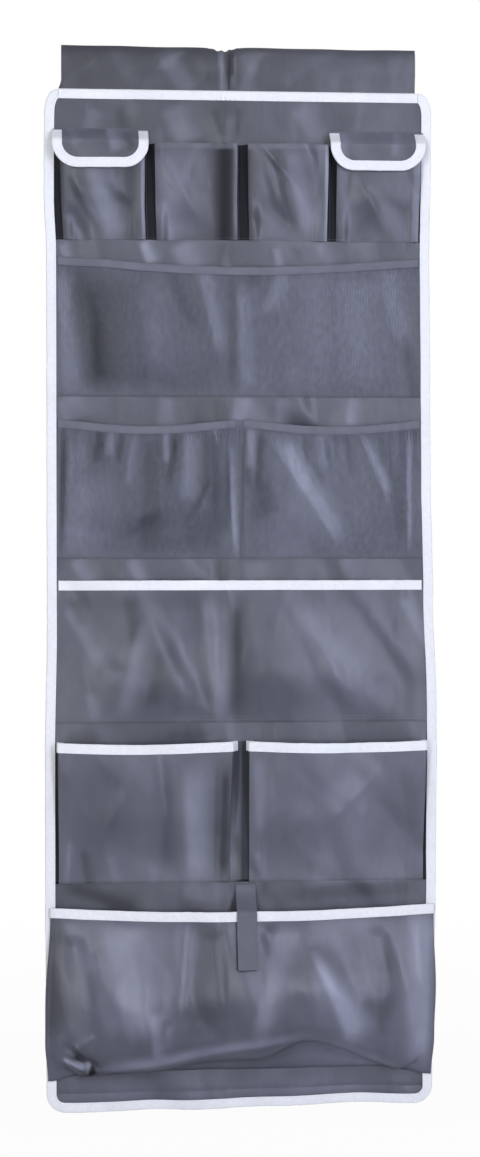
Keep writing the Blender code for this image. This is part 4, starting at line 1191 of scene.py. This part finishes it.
# Light and shade painted along the bottom pocket's folds, its rolled lower edge and its pinched
# corner, in millimetres
BOTTOM_FOLD_SHADING = [
    (-195, 923, -164, 990, 6.7, 11.2, 0.48), (-138, 921, -113, 1068, 27, 14.6, 1.02),
    (-164, 961, -140, 1061, 12.4, 12.4, 0.42), (-98, 1023, -95, 1083, 6.7, 6.7, 0.9),
    (-60, 921, -71, 1039, 2.8, 2.8, 0.72), (-35, 921, -44, 1061, 16.9, 19.1, -0.44),
    (-204, 921, -207, 1068, 13.5, 13.5, -0.44), (54, 921, 14, 1068, 14.6, 9, 0.96),
    (74, 959, 138, 1068, 3.4, 19.1, 1.5), (156, 961, 160, 1065, 7.9, 9, -0.44),
    (111, 932, 152, 1054, 7.9, 10.1, -0.33), (201, 1110, 201, 914, 14.6, 15.8, 1.44),
    (-165, 1094, 81, 1054, 6.2, 5.1, 1.08), (-193, 1076, -160, 1101, 9, 9, -0.88),
    (-202, 1081, -173, 1094, 2.2, 3.4, 2.4), (-173, 1101, -171, 1083, 2.2, 2.2, 1.2),
    (121, 905, 138, 1128, 69.7, 74.2, 0.36), (152, 914, 165, 994, 18, 11.2, -0.22),
    (83, 1065, 185, 1101, 3.9, 3.9, 0.48)
]

_, _, mouth, seam_below = sewn_place("bottom_pocket")
BOTTOM_HEIGHT = seam_below - BOTTOM_SLUMP
bottom_facets = soft_facets(2 * HALF_WIDTH, BOTTOM_HEIGHT, 0.065, 0.08, 0.35, 1.7, seed=103)


def bottom_drop(x, level):
    """How far below its mouth the pocket's front is at a level, from 0 to 1."""
    share = np.clip(x / (2 * HALF_WIDTH) + 0.5, 0, 1)
    near_side = np.minimum(share, 1 - share)
    lip = BOTTOM_SAG * np.sin(math.pi * share)
    low = BOTTOM_HEIGHT + BOTTOM_SLUMP - eased(BOTTOM_LIFTS, x)
    sewn = BOTTOM_HEIGHT + BOTTOM_SLUMP * (1 - ease(near_side / 0.14))
    under = ease((level - LOWEST) / (1 - LOWEST))
    tuck = BOTTOM_TUCK * math.exp(-(((level - TUCK_AT) / 0.025) ** 2))
    front = mix(lip, low, level / LOWEST) if level < LOWEST else mix(low, sewn, under) - tuck
    return mix(sewn * level, front, ease(near_side / 0.1))


def rolled_side(mouth_rim, level, roundness):
    """The left side of the bottom pocket, from its sewn line round its roll to its front."""
    sewn = HALF_WIDTH - TAPE_WIDTH + TAPE
    rim = HALF_WIDTH - mix(mouth_rim, BOTTOM_RIM, float(ease(level / 0.9)))
    under = [(-x, OVER_TAPE_PLY) for x in (sewn, mix(sewn, rim, 0.5), rim)]
    return np.array(under + bend(-rim, OVER_TAPE_PLY, math.pi, -math.pi, roundness, steps=10))


def bottom_net(columns=170, levels=90):
    """The laid-out net of the bottom pocket."""
    roll = [(0, TAPED_FOLD), (0.45, BOTTOM_SIDE_ROLL), (0.75, 0.8 * BOTTOM_SIDE_ROLL), (1, CLOTH)]
    rows = []
    for level, shut in mouth_levels((TAPE_WIDTH + SEAM_GAP) / BOTTOM_HEIGHT, levels):
        roundness = float(eased(roll, shut))
        west, east = (rolled_side(mouth_rim, level, roundness) for mouth_rim in MOUTH_RIMS)
        start_x, start_out = west[-1]
        end_x = -east[-1, 0]
        x = np.linspace(start_x, end_x, columns + 2)[1:-1]
        share = (x - start_x) / (end_x - start_x)
        swell = np.sin(math.pi * share) ** 0.7
        lobes = 1 - 0.16 * np.exp(-(((share - 0.5) / 0.11) ** 2))
        depth = BOTTOM_MOUTH_DEPTH * (1 - float(ease(shut / 0.5))) * swell
        depth = depth + BOTTOM_BELLY_DEPTH * swell * lobes * float(eased(BOTTOM_BELLY, shut))
        inward = np.minimum(x - start_x, end_x - x)
        sewn_down = mix(start_out, SEWN_PLY, ease((inward - TAPE_WIDTH) / FRONT_RAMP))
        base = mix(start_out, sewn_down, float(ease((shut - 0.6) / 0.4)))
        down = bottom_drop(x, level)
        loose = ease(inward / 0.03) * float(ease(shut / 0.12) * ease((1 - shut) / 0.14))
        relief = creased(bottom_facets(x, down), x, down, BOTTOM_CREASES)
        out = np.maximum(base + depth + loose * relief, base)
        xs = np.concatenate([west[:, 0], x, -east[::-1, 0]])
        outs = np.concatenate([west[:, 1], out, east[::-1, 1]])
        rows.append(flat(xs, outs, mouth + bottom_drop(xs, level)))
    return np.array(rows)


bottom = bottom_net()
# The bottom pocket's cloth is set paler than the panel's, as painted light on the same cloth
bound_pocket(
    bottom, "hung_bottom_pocket", "bottom_pocket", "hung_bottom_binding", "bottom_binding",
    "bottom_seam", 105, coated_cloth("bottom_pocket_cloth", (0.092, 0.096, 0.125), 4.4, 0.33),
    painted_fold_shading(bottom, BOTTOM_FOLD_SHADING), skipped=6, lines=[row_above_seam(bottom)[BOTTOM_FRONT]]
)


# Flaps
# A flap of cloth, bound round its free edge with white tape, is sewn to the panel above each
# outer small pocket. A hook patch under it holds a loop patch on the pocket's front.
FLAP_BARE_HEM = 0.0035
FLAP_CORNER = 0.027
FLAP_OUTWARD = 0.003
FLAP_COLUMNS = 49
FLAP_PATCH_WIDTH = 0.026
FLAP_PATCH_HEIGHT = 0.012
PATCH = 0.001
PATCH_MARGIN = 0.0025
PATCH_STACK = CLOTH / 2 + SEAM_GAP + PATCH / 2
PILE_PITCH = 0.0011
# The size of a pile's hooks or loops, how thick their wire is and how far each leans
HOOKS = (0.0008, 0.07, 0.25)
LOOPS = (0.0006, 0.035, 3.1)
# Light and shade painted along the flaps' folds, in millimetres
FLAP_FOLD_SHADING = [
    (-147, 38, -136, 74, 3.4, 9, 1.2), (-127, 43, -120, 74, 5.6, 5.6, -0.48),
    (-190, 40, -179, 67, 4.5, 5.6, 0.6), (116, 40, 118, 76, 5.6, 6.7, 0.96),
    (180, 40, 172, 76, 4.5, 4.5, 0.72), (147, 40, 147, 76, 10.1, 10.1, -0.24)
]


def hook_tree():
    """Node tree that stands small bent hooks over a mesh, in rows."""
    tree, given = repeat_tree(
        "hooks", "Backing", ("Hook height", "Hook thickness", "Lean"), "Tape", "Hooks"
    )
    arc = node(tree, "GeometryNodeCurveArc", [
        ("Resolution", 7), ("Radius", 0.5), ("Sweep Angle", math.radians(230))
    ])
    round_wire = node(tree, "GeometryNodeCurvePrimitiveCircle", [
        ("Resolution", 5), ("Radius", given["Hook thickness"])
    ])
    wire = node(tree, "GeometryNodeCurveToMesh", [
        ("Curve", arc.outputs[0]), ("Profile Curve", round_wire.outputs[0]), ("Fill Caps", True)
    ])
    upright = node(tree, "GeometryNodeTransform", [
        ("Geometry", wire.outputs[0]), ("Rotation", (math.pi / 2, 0, 0))
    ])
    spots = node(tree, "GeometryNodeMeshToPoints", [("Mesh", given["Backing"])])
    facing = node(tree, "GeometryNodeInputNormal").outputs[0]
    turned = node(tree, "FunctionNodeAlignRotationToVector", [("Vector", facing)], axis="Z")
    # Inputs 2 and 3 are the least and the most of a random number
    spin = node(tree, "FunctionNodeRandomValue", [
        ("Seed", 7), (2, maths(tree, "MULTIPLY", given["Lean"], -1.0)), (3, given["Lean"])
    ], data_type="FLOAT")
    spun = node(tree, "ShaderNodeCombineXYZ", [(2, spin.outputs[1])])
    leant = node(tree, "FunctionNodeRotateRotation", [
        ("Rotation", turned.outputs[0]), ("Rotate By", spun.outputs[0])
    ], rotation_space="LOCAL")
    return end_tree(
        tree, spots.outputs[0], upright.outputs[0], leant.outputs[0], given["Hook height"],
        given["Tape"]
    )


hooks = hook_tree()
nap, tree, shader = new_material("hook_and_loop", 0.75, 0.3, sheen=0.3)
figured(
    tree, shader, (0.05, 0.052, 0.064), 0.4, (streaky(tree, 700, 0, 1, 3), 1.0, 0.0004, 0.8)
)


def resampled(points, rows, columns):
    """The same sheet of points as a net of evenly spread rows and columns."""
    down = np.linspace(0, len(points) - 1, rows)
    along = np.linspace(0, points.shape[1] - 1, columns)
    row = np.minimum(np.floor(down).astype(int), len(points) - 2)
    column = np.minimum(np.floor(along).astype(int), points.shape[1] - 2)
    v, u = (down - row)[:, None, None], (along - column)[None, :, None]
    corner = [points[np.ix_(row + a, column + b)] for a, b in ((0, 0), (0, 1), (1, 0), (1, 1))]
    return mix(mix(corner[0], corner[1], u), mix(corner[2], corner[3], u), v)


def outward_of(points):
    """The direction that each point of a net faces, forward of the cloth."""
    down, along = np.gradient(points, axis=0), np.gradient(points, axis=1)
    return unit(np.cross(down, along))


def patch(name, node_name, points, body, pile, side=1):
    """A patch of hook or loop tape on laid-out points, with its backing and its pile, which
    stands on the back where side is -1."""
    belongs(ply(name, hang(points), PATCH, nap, 0), body, node_name)
    wide, tall = cut_size(points)
    dense = resampled(points, round(tall / PILE_PITCH), round(wide / PILE_PITCH))
    dense = hang(dense + outward_of(dense) * (PATCH / 2 + pile[0] * 0.25) * side)[1:-1, 1:-1]
    spots = dense.reshape(-1, 3).tolist()
    grown = grow(f"{name}_pile", spots, [], squares(dense, side), hooks, nap, pile)
    belongs(grown, body)


def part_of(front, down, top, end, start_x, end_x):
    """The part of a pocket's front between two drops and two places across it. down is the
    drop of each row."""
    first, last = (nearest(front[0, :, 0], x) for x in (start_x, end_x))
    return front[nearest(down, top):nearest(down, end) + 1, first:last + 1]


for side, pocket, seed in (("left", 0, 110), ("right", SMALL_COUNT - 1, 120)):
    body = f"{side}_flap"
    hinge_x, _, hinge_z = joints[f"{side}_flap_hinge"]["pos_m"]
    hinge_drop = PANEL_TOP - hinge_z
    pocket_net = small_nets[pocket]
    low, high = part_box(body)
    half = (high.x - low.x) / 2
    reach = high.z - low.z
    outside = -1 if side == "left" else 1
    knee_drop = -pocket_net[0, 0, 2] - hinge_drop - SEAM_SPACE
    knee_out = CLOTH / 2 - low.y
    straight = reach - FLAP_CORNER
    corner = np.linspace(0, math.pi / 2, 18)[1:]
    flap_drops = np.concatenate([
        np.linspace(0, straight, 26), straight + FLAP_CORNER * np.sin(corner) * 0.998
    ])
    halves = half - FLAP_CORNER * corner_turn((flap_drops - straight) / FLAP_CORNER)
    flap_facets = soft_facets(2 * half, reach, 0.022, 0.09, 0.8, 1.8, seed=seed)

    def flap_at(x, drop):
        """A point of the flap: it stands off from its seam to its knee, then hangs down."""
        x, drop = np.broadcast_arrays(np.asarray(x, float), np.asarray(drop, float))
        along = drop / knee_drop
        bent = np.where(along < 1, np.minimum(along, 2.1 * ease(along / 2)), 1.0)
        stand = (bent + np.sin(np.clip(along, 0, 1) * math.pi / 2)) / 2
        inside = np.minimum(half - np.abs(x), reach - drop) - TAPE_WIDTH
        free = ease(drop / 0.012) * ease(inside / 0.012)
        out = mix(SEWN_PLY, knee_out, stand) + free * np.maximum(flap_facets(x, drop), -0.0006)
        widened = x + outside * FLAP_OUTWARD * np.clip(outside * x / half, 0, 1)
        return flat(hinge_x + widened, out, hinge_drop + drop)

    net = flap_at(halves[:, None] * np.linspace(-1, 1, FLAP_COLUMNS), flap_drops[:, None])
    # The flap's cloth is set darker than the panel's, as painted shade on the same cloth
    cloth = coated_cloth(f"{side}_flap_cloth", (0.062, 0.065, 0.084), 0.1 * seed)
    # Its shade adds painted light to its upper part, from its seam down to its knee, which stands
    # off facing up and gets little light
    shade = painted_fold_shading(net, FLAP_FOLD_SHADING) + 1.1 * (1 - ease(flap_drops / knee_drop * 3 - 2.5))[:, None]
    flap = ply(f"hung_{side}_flap", hang(net), CLOTH, cloth, shade)
    belongs(flap, body, body)

    first = int(np.argmax(flap_drops > FLAP_BARE_HEM))
    edge, facing = (
        np.concatenate([values[first:, 0], values[-1, 1:-1], values[first:, -1][::-1]])
        for values in (net, outward_of(net))
    )
    along, mitre = directions(edge)
    outward = unit(np.cross(along, facing)) * np.minimum(mitre, 1.3)[:, None]
    rings = folded_rings(edge, facing, outward, bindings["white_tape"][0], seed)
    trim = bind(
        rings, f"hung_{side}_flap_binding", f"{side}_flap_binding", "white_tape", body,
        f"{side}_flap_binding_stitches"
    )
    trim.append(sew(f"{side}_flap_seam", [net[2, 1:-1]]))

    hook_low, hook_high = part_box(f"{side}_flap_hook_patch")
    middle_x = (hook_low.x + hook_high.x) / 2
    down = pocket_net[0, 0, 2] - pocket_net[:, 0, 2]
    loops = part_of(
        pocket_net[:, FRONT], down, PATCH_MARGIN, PATCH_MARGIN + FLAP_PATCH_HEIGHT,
        middle_x - FLAP_PATCH_WIDTH / 2, middle_x + FLAP_PATCH_WIDTH / 2
    )
    patch(
        f"{side}_flap_loops", f"{side}_flap_loop_patch", forward_of(loops, PATCH_STACK), "panel",
        LOOPS
    )
    patch_x = np.linspace(-1, 1, 8) * FLAP_PATCH_WIDTH / 2 + middle_x - hinge_x
    patch_drop = knee_drop + SEAM_SPACE + PATCH_MARGIN + np.linspace(0, FLAP_PATCH_HEIGHT, 5)
    under = forward_of(flap_at(patch_x, patch_drop[:, None]), -PATCH_STACK)
    patch(f"{side}_flap_hooks", f"{side}_flap_hook_patch", under, body, HOOKS, side=-1)


# Closure strap
# A length of ribbed webbing, sewn at its top to the panel, closes the bottom pocket. A hook
# patch under its end holds a loop patch on the pocket's front.
STRAP = 0.0012
STRAP_SPACE = 0.0006
STRAP_ROWS = 90
STRAP_COLUMNS = 15
FOLDED_END = 0.016
STRAP_CUP = 0.0004
STRAP_DRIFT = 0.00048
STRAP_STACK = STRAP / 2 + SEAM_GAP + PATCH / 2


def ribbed_webbing(name, colour):
    """Narrow woven webbing with ribs across it."""
    material, tree, shader = new_material(name, 0.55, 0.35)
    ribs = as_height(tree, threads(tree, on_cloth(tree)[1], 0.0016))
    figured(
        tree, shader, colour, 0.25, (streaky(tree, 60, 0, 1, 4), 0.7, 0.0006, 0.3),
        (ribs, 0.3, 0.0002, 0.5), (weave(tree, 0.0008, 0.0016), 0.3, 0.00015, 0.6)
    )
    return material


strap_low, strap_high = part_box("closure_strap")
strap_x, _, strap_z = joints["strap_hinge"]["pos_m"]
strap_drop = PANEL_TOP - strap_z
strap_half = (strap_high.x - strap_low.x) / 2

# The strap follows the pocket's front under it, smoothed over the rows nearby
front = bottom[:, BOTTOM_FRONT]
column = nearest(front[0, :, 0], strap_x)
nearby = np.arange(-4, 5)
under = front[:, column + nearby].mean(axis=1)
followed = under[-under[:, 2] < PANEL_TOP - strap_low.z]
down = -followed[:, 2]
out = -followed[:, 1] + CLOTH / 2 + 2 * SEAM_GAP + STRAP_SPACE + 2 * PATCH + STRAP / 2
steady = np.clip(np.arange(len(out))[:, None] + nearby, 0, len(out) - 1)
out = np.maximum(out[steady].mean(axis=1), out)

# Above the pocket's mouth it comes off the panel
sewn_out = PANEL_THICKNESS / 2 + SEAM_GAP + STRAP / 2
leaving = mix(strap_drop, down[0] - 0.003, np.linspace(0, 1, 20))
rise = (leaving - strap_drop) / (down[0] - strap_drop)
leave_out = mix(sewn_out, out[0], ease(rise * 0.55) / ease(0.55))
leave_out[rise < 0.12] = sewn_out
course = np.stack([np.concatenate([leaving, down]), np.concatenate([leave_out, out])], axis=-1)
lengths = lengths_along(course, 0)
even = np.linspace(0, lengths[-1], STRAP_ROWS)
course = np.stack([np.interp(even, lengths, course[:, k]) for k in (0, 1)], axis=-1)
for _ in range(6):
    course[1:-1] = (course[:-2] + 2 * course[1:-1] + course[2:]) / 4
across = np.linspace(-strap_half, strap_half, STRAP_COLUMNS)
cupped = STRAP_CUP * (across / strap_half) ** 2 * ease(even / 0.03)[:, None]
drifted = STRAP_DRIFT * ease(even / even[-1])[:, None]
strap_net = flat(strap_x + across + drifted, course[:, 1, None] - cupped, course[:, 0, None])
webbing = ribbed_webbing("strap_webbing", (0.122, 0.126, 0.158))
strap = ply("hung_closure_strap", hang(strap_net), STRAP, webbing, 0)
belongs(strap, "strap", "closure_strap")
hems = [strap_net[nearest(even, even[-1] - inset), 1:-1] for inset in (0.003, FOLDED_END)]
tack = [strap_net[2, 1:-1], strap_net[7, 1:-1], strap_net[2:8, 1], strap_net[2:8, -2]]
strap_trim = [
    sew(f"strap_{part}_stitches", lines, "strap", "grey_webbing", STRAP / 2)
    for part, lines in (("end", hems), ("tack", tack))
]

hook_low, hook_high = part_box("strap_hook_patch")
middle_drops = -strap_net[:, STRAP_COLUMNS // 2, 2]
top, end = (nearest(middle_drops, PANEL_TOP - z) for z in (hook_high.z, hook_low.z))
hook_net = forward_of(strap_net[top:end + 1, 1:-1], -STRAP_STACK)
patch("strap_hooks", "strap_hook_patch", hook_net, "strap", HOOKS, side=-1)
loop_low, loop_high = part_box("strap_loop_patch")
loop_half = (loop_high.x - loop_low.x) / 2
loop_net = part_of(
    front, -under[:, 2], PANEL_TOP - loop_high.z, PANEL_TOP - loop_low.z,
    strap_x - loop_half, strap_x + loop_half
)
patch("strap_loops", "strap_loop_patch", forward_of(loop_net, PATCH_STACK), "panel", LOOPS)


# Edge tape
# White bias tape folded over the panel's sides and bottom edge, over the pockets' sewn sides
# too, and stitched through near its inner edge. A second length binds the top.
EDGE_TAPE_FACE = SEWN_PLY + CLOTH / 2 + SEAM_GAP + TAPE
EDGE_TAPE_BACK = PANEL_THICKNESS / 2 + SEAM_GAP + TAPE
EDGE_STEP = 0.0045
TOP_TAPE_STEPS = 420
TOP_CRINKLE = 0.0008


def edge_path(inset):
    """The panel's edge from the left end of its top, down and round to the right end."""
    half = HALF_WIDTH - inset
    radius = BOTTOM_CORNER_RADIUS - inset
    low = PANEL_HEIGHT - inset - radius
    turn = np.linspace(0, math.pi / 2, 16)
    top_x = HALF_TOP + TOP_CORNER_LEAD
    shoulder = [top_x + (half - top_x) * np.sin(turn), TOP_CORNER_DROP * (1 - np.cos(turn))]
    side = np.arange(TOP_CORNER_DROP + EDGE_STEP, low - EDGE_STEP / 2, EDGE_STEP)
    corner = [half - radius + radius * np.cos(turn), low + radius * np.sin(turn)]
    bottom = np.linspace(half - radius, 0, round((half - radius) / EDGE_STEP))[1:]
    x, drop = np.concatenate([
        [[HALF_TOP], [0]], shoulder, [np.full_like(side, half), side], corner,
        [bottom, np.full_like(bottom, low + radius)]
    ], axis=1)
    return flat(np.concatenate([-x[:-1], x[::-1]]), 0, np.concatenate([drop[:-1], drop[::-1]]))


path = edge_path(TAPE_LIP)
along, mitre = directions(path)
facing = np.broadcast_to([0.0, -1.0, 0.0], path.shape)
outward = unit(np.cross(along, facing)) * mitre[:, None]
outline = taped(EDGE_TAPE_FACE, EDGE_TAPE_BACK, 0.0012)
rings = folded_rings(path, facing, outward, outline, 130, puff=0.0005, stray=0.0004)
edge_trim = bind(
    rings, "hung_edge_binding", "edge_binding", "white_tape", sewn="edge_binding_stitches"
)

top_x = np.linspace(-HALF_TOP + SEAM_GAP, HALF_TOP - SEAM_GAP, TOP_TAPE_STEPS)
path = flat(top_x, 0, TAPE_LIP - EDGE_TAPE_BACK)
upward = np.broadcast_to([0.0, 0.0, 1.0], path.shape)
facing = np.broadcast_to([0.0, -1.0, 0.0], path.shape)
outline = taped(EDGE_TAPE_BACK, EDGE_TAPE_BACK, EDGE_TAPE_BACK)
rings = folded_rings(path, facing, upward, outline, 140, puff=0.0003, stray=0.0002)
crinkled = np.exp(-(((top_x - PACKING_FOLD_X) / 0.014) ** 2)) * np.cos(top_x * 1250)
below_edge = ease(-rings[..., 2] / 0.005) * (rings[..., 1] < 0)
rings[..., 1] -= TOP_CRINKLE * crinkled[:, None] * below_edge
top_trim = bind(
    rings, "hung_top_binding", "top_binding", "white_tape", sewn="top_binding_stitches"
)


# Rod sleeve
# One strip of cloth folded over and sewn to the panel under the top tape. A rod or a rail goes
# through the flat tunnel, which shows the folds that it was packed in.
TUNNEL_HEIGHT = 0.039
TUNNEL_DEPTH = 0.009
TUNNEL_DIP = 0.004
TUNNEL_DIP_X = -0.018
# The sleeve is flatter and a little further back where the lifted flaps come near it
BEHIND_FLAPS_X = 0.09
FLAT_BEHIND_FLAPS = 0.7
BACK_BEHIND_FLAPS = 0.0004
HEM_GAP = 0.0001
HEM_STUB = 0.003
SLEEVE_STEP = 0.0028
# Light and shade painted along the sleeve's folds, in millimetres
SLEEVE_FOLD_SHADING = [
    (-89, -49, -51, 7, 9, 14.6, 0.98), (-66, -47, -33, 2, 10.1, 10.1, -0.38),
    (-145, -49, -111, 2, 7.9, 7.9, 0.33), (-21, -54, -19, 7, 2.9, 2.9, 1.95),
    (-11, -52, -12, 7, 2.8, 2.8, -0.67), (19, -38, 3, 7, 5.6, 7.9, 0.65),
    (91, -52, 102, 7, 15.8, 15.8, 0.45), (177, -47, 181, 4, 11.2, 11.2, 0.26),
    (55, -47, 62, 4, 9, 9, -0.17), (-186, -47, -177, 4, 10.1, 10.1, -0.13),
    (-130, -80, -130, 40, 90, 90, -0.36)
]

sleeve_low, sleeve_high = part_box("hanging_sleeve")
sleeve_half = sleeve_high.x
sleeve_facets = soft_facets(2 * sleeve_half, 0.05, 0.034, 0.1, 0.9, 2.2, seed=150)
back_facets = soft_facets(2 * sleeve_half, 0.05, 0.036, 0.08, 0.6, 2.0, seed=151)


def sleeve_leg(share, side):
    """One leg of the sleeve's section: (across, height) from its hem at 0 up to its top
    fold at 1. The front and the back leg meet there."""
    angle = math.radians(-64) + math.radians(154) * share
    round_out = np.cos(angle) * TUNNEL_DEPTH / 2 + CLOTH / 2
    up = TUNNEL_HEIGHT / 2 * np.sin(angle)
    first = TUNNEL_HEIGHT / 2 * math.sin(angle[0])
    rounded = ease(share / 0.3)
    up = mix(sleeve_low.z + (up - first), up, rounded)
    hem = CLOTH / 2 + HEM_GAP
    return side * np.maximum(mix(hem, round_out, rounded), hem * (share < 0.9)), up


def sleeve_net():
    """The hung net of the sleeve, from its front hem over the top to its back hem."""
    x = np.linspace(-sleeve_half, sleeve_half, round(2 * sleeve_half / SLEEVE_STEP))
    climb = np.concatenate([[0, 0.03, 0.06, 0.1], np.linspace(0.14, 1, 30)])
    front, up = sleeve_leg(climb, 1)
    back, _ = sleeve_leg(climb[:-1], -1)
    section_out = np.concatenate([front, back[::-1]])[:, None]
    section_up = np.concatenate([up, up[:-1][::-1]])[:, None]
    body = np.concatenate([climb, climb[:-1][::-1]])[:, None]
    on_front = np.arange(len(body))[:, None] < len(front)
    held = ease(body / 0.25) * ease((1 - body) / 0.18)
    crinkle = np.exp(-(((x - TUNNEL_DIP_X) / 0.012) ** 2)) * (1 + 0.35 * np.sin(x * 700))
    top_wave = 0.0003 * np.sin(x * 31 + 0.6) + 0.0002 * np.sin(x * 83)
    lowered = (TUNNEL_DIP * crinkle - top_wave) * ease((body - 0.45) / 0.55)
    from_hem = section_up - sleeve_low.z
    relief = np.where(on_front, sleeve_facets(x, from_hem), -back_facets(x, from_hem))
    behind_flaps = ease((np.abs(x) - BEHIND_FLAPS_X) / 0.03)
    relief = relief * (1 - FLAT_BEHIND_FLAPS * behind_flaps)
    relief = relief - BACK_BEHIND_FLAPS * behind_flaps * on_front
    packing = ridge(x, TUNNEL_DIP_X + 0.001, 0.0028, 0.0022)
    packing = packing + ridge(x, TUNNEL_DIP_X + 0.009, 0.003, -0.0026)
    out = section_out + held * (relief + packing * np.where(on_front, 1.0, 0.3))
    out = np.maximum(out, np.where(on_front, section_out * 0.25, -np.inf))
    stub = ease((x + sleeve_half - 0.02) / -0.02) * ease(1 - body / 0.16)
    return np.stack([x - HEM_STUB * stub * ~on_front, -out, section_up - lowered], axis=-1)


net = sleeve_net()
shade = painted_fold_shading(net - np.array([0, 0, PANEL_TOP]), SLEEVE_FOLD_SHADING)
# The sleeve's cloth is set much darker than the panel's, as painted shade on the same cloth
cloth = coated_cloth("sleeve_cloth", (0.047, 0.0495, 0.065), 15.3)
sleeve = belongs(
    ply("hung_sleeve", net, CLOTH, cloth, shade), "sleeve", "hanging_sleeve"
)


# Studio
# A plain white room: a pale floor under the hanging object, two tall soft strip lamps in front
# of it and an even white surround. The camera stands a little to the left with a long lens.
FLOOR_BELOW = 0.03
FLOOR_HALF = 2.5
LAMP_AWAY = 2.5
LAMP_HEIGHT = -0.6
CAMERA_PLACE = (-0.267, -3.0, -0.587)
CAMERA_AIM = (0.0, 0.0, -0.5774)
CAMERA_ROLL = math.radians(-0.124)
LENS = 83.3


def facing_from(place, aim):
    return (Vector(aim) - Vector(place)).to_track_quat("-Z", "Y")


def strip_lamp(name, x, power, colour):
    light = bpy.data.lights.new(name, "AREA")
    light.shape = "RECTANGLE"
    light.size, light.size_y = 0.5, 3.6
    light.energy = power
    light.color = colour
    lamp = placed(name, light)
    lamp.location = (x, -LAMP_AWAY, LAMP_HEIGHT)
    lamp.rotation_euler = facing_from(lamp.location, (0, 0, LAMP_HEIGHT)).to_euler()


strip_lamp("left_softbox", -1.0, 42, (0.97, 0.98, 1.0))
strip_lamp("right_softbox", 1.09, 57, (0.82, 0.84, 1.0))


def mixed(tree, share, first, second, output):
    """Ends a material or a world with a mix of two shaders."""
    both = node(tree, "ShaderNodeMixShader", [
        (0, share), (1, first.outputs[0]), (2, second.outputs[0])
    ])
    tree.links.new(both.outputs[0], output.inputs[0])


def plain(tree, kind, colour, strength):
    return node(tree, kind, [("Color", (*colour, 1)), ("Strength", strength)])


world = bpy.data.worlds.new("white_room")
bpy.context.scene.world = world
world.use_nodes = True
tree = world.node_tree
tree.nodes.clear()
rays = node(tree, "ShaderNodeLightPath").outputs
seen = maths(tree, "MAXIMUM", rays["Is Camera Ray"], rays["Is Transmission Ray"])
seen = maths(tree, "MAXIMUM", seen, rays["Is Glossy Ray"])
around = plain(tree, "ShaderNodeBackground", (0.95, 0.96, 1.0), 0.26)
white = plain(tree, "ShaderNodeBackground", (1, 1, 1), 1.0)
mixed(tree, seen, around, white, tree.nodes.new("ShaderNodeOutputWorld"))

floor_mesh = bpy.data.meshes.new("floor")
corners = [(-1, -1), (1, -1), (1, 1), (-1, 1)]
floor_mesh.from_pydata([(x * FLOOR_HALF, y * FLOOR_HALF, 0) for x, y in corners], [], [range(4)])
floor = placed("floor", floor_mesh)
floor.location.z = cad_box[0].z - FLOOR_BELOW
paper, tree, shader = new_material("white_paper", 0.9, 0.2)
shader.inputs["Base Color"].default_value = (0.9, 0.9, 0.9, 1)
rays = node(tree, "ShaderNodeLightPath").outputs
glow = plain(tree, "ShaderNodeEmission", (1, 1, 1), 1.0)
place = node(tree, "ShaderNodeTexCoord").outputs["Object"]
away = node(tree, "ShaderNodeVectorMath", [(0, place)], operation="LENGTH").outputs["Value"]
share = maths(tree, "MULTIPLY", rays["Is Camera Ray"], ranged(tree, away, 0.5, 2.2, 0.96, 1.0))
mixed(tree, share, shader, glow, tree.nodes["Material Output"])
floor_mesh.materials.append(paper)

camera = placed("camera", bpy.data.cameras.new("camera"))
camera.location = CAMERA_PLACE
roll = Quaternion((0, 0, 1), CAMERA_ROLL)
camera.rotation_euler = (facing_from(CAMERA_PLACE, CAMERA_AIM) @ roll).to_euler()
camera.data.lens = LENS
camera.data.clip_end = 50
bpy.context.scene.camera = camera
bpy.context.scene.view_settings.view_transform = "Standard"
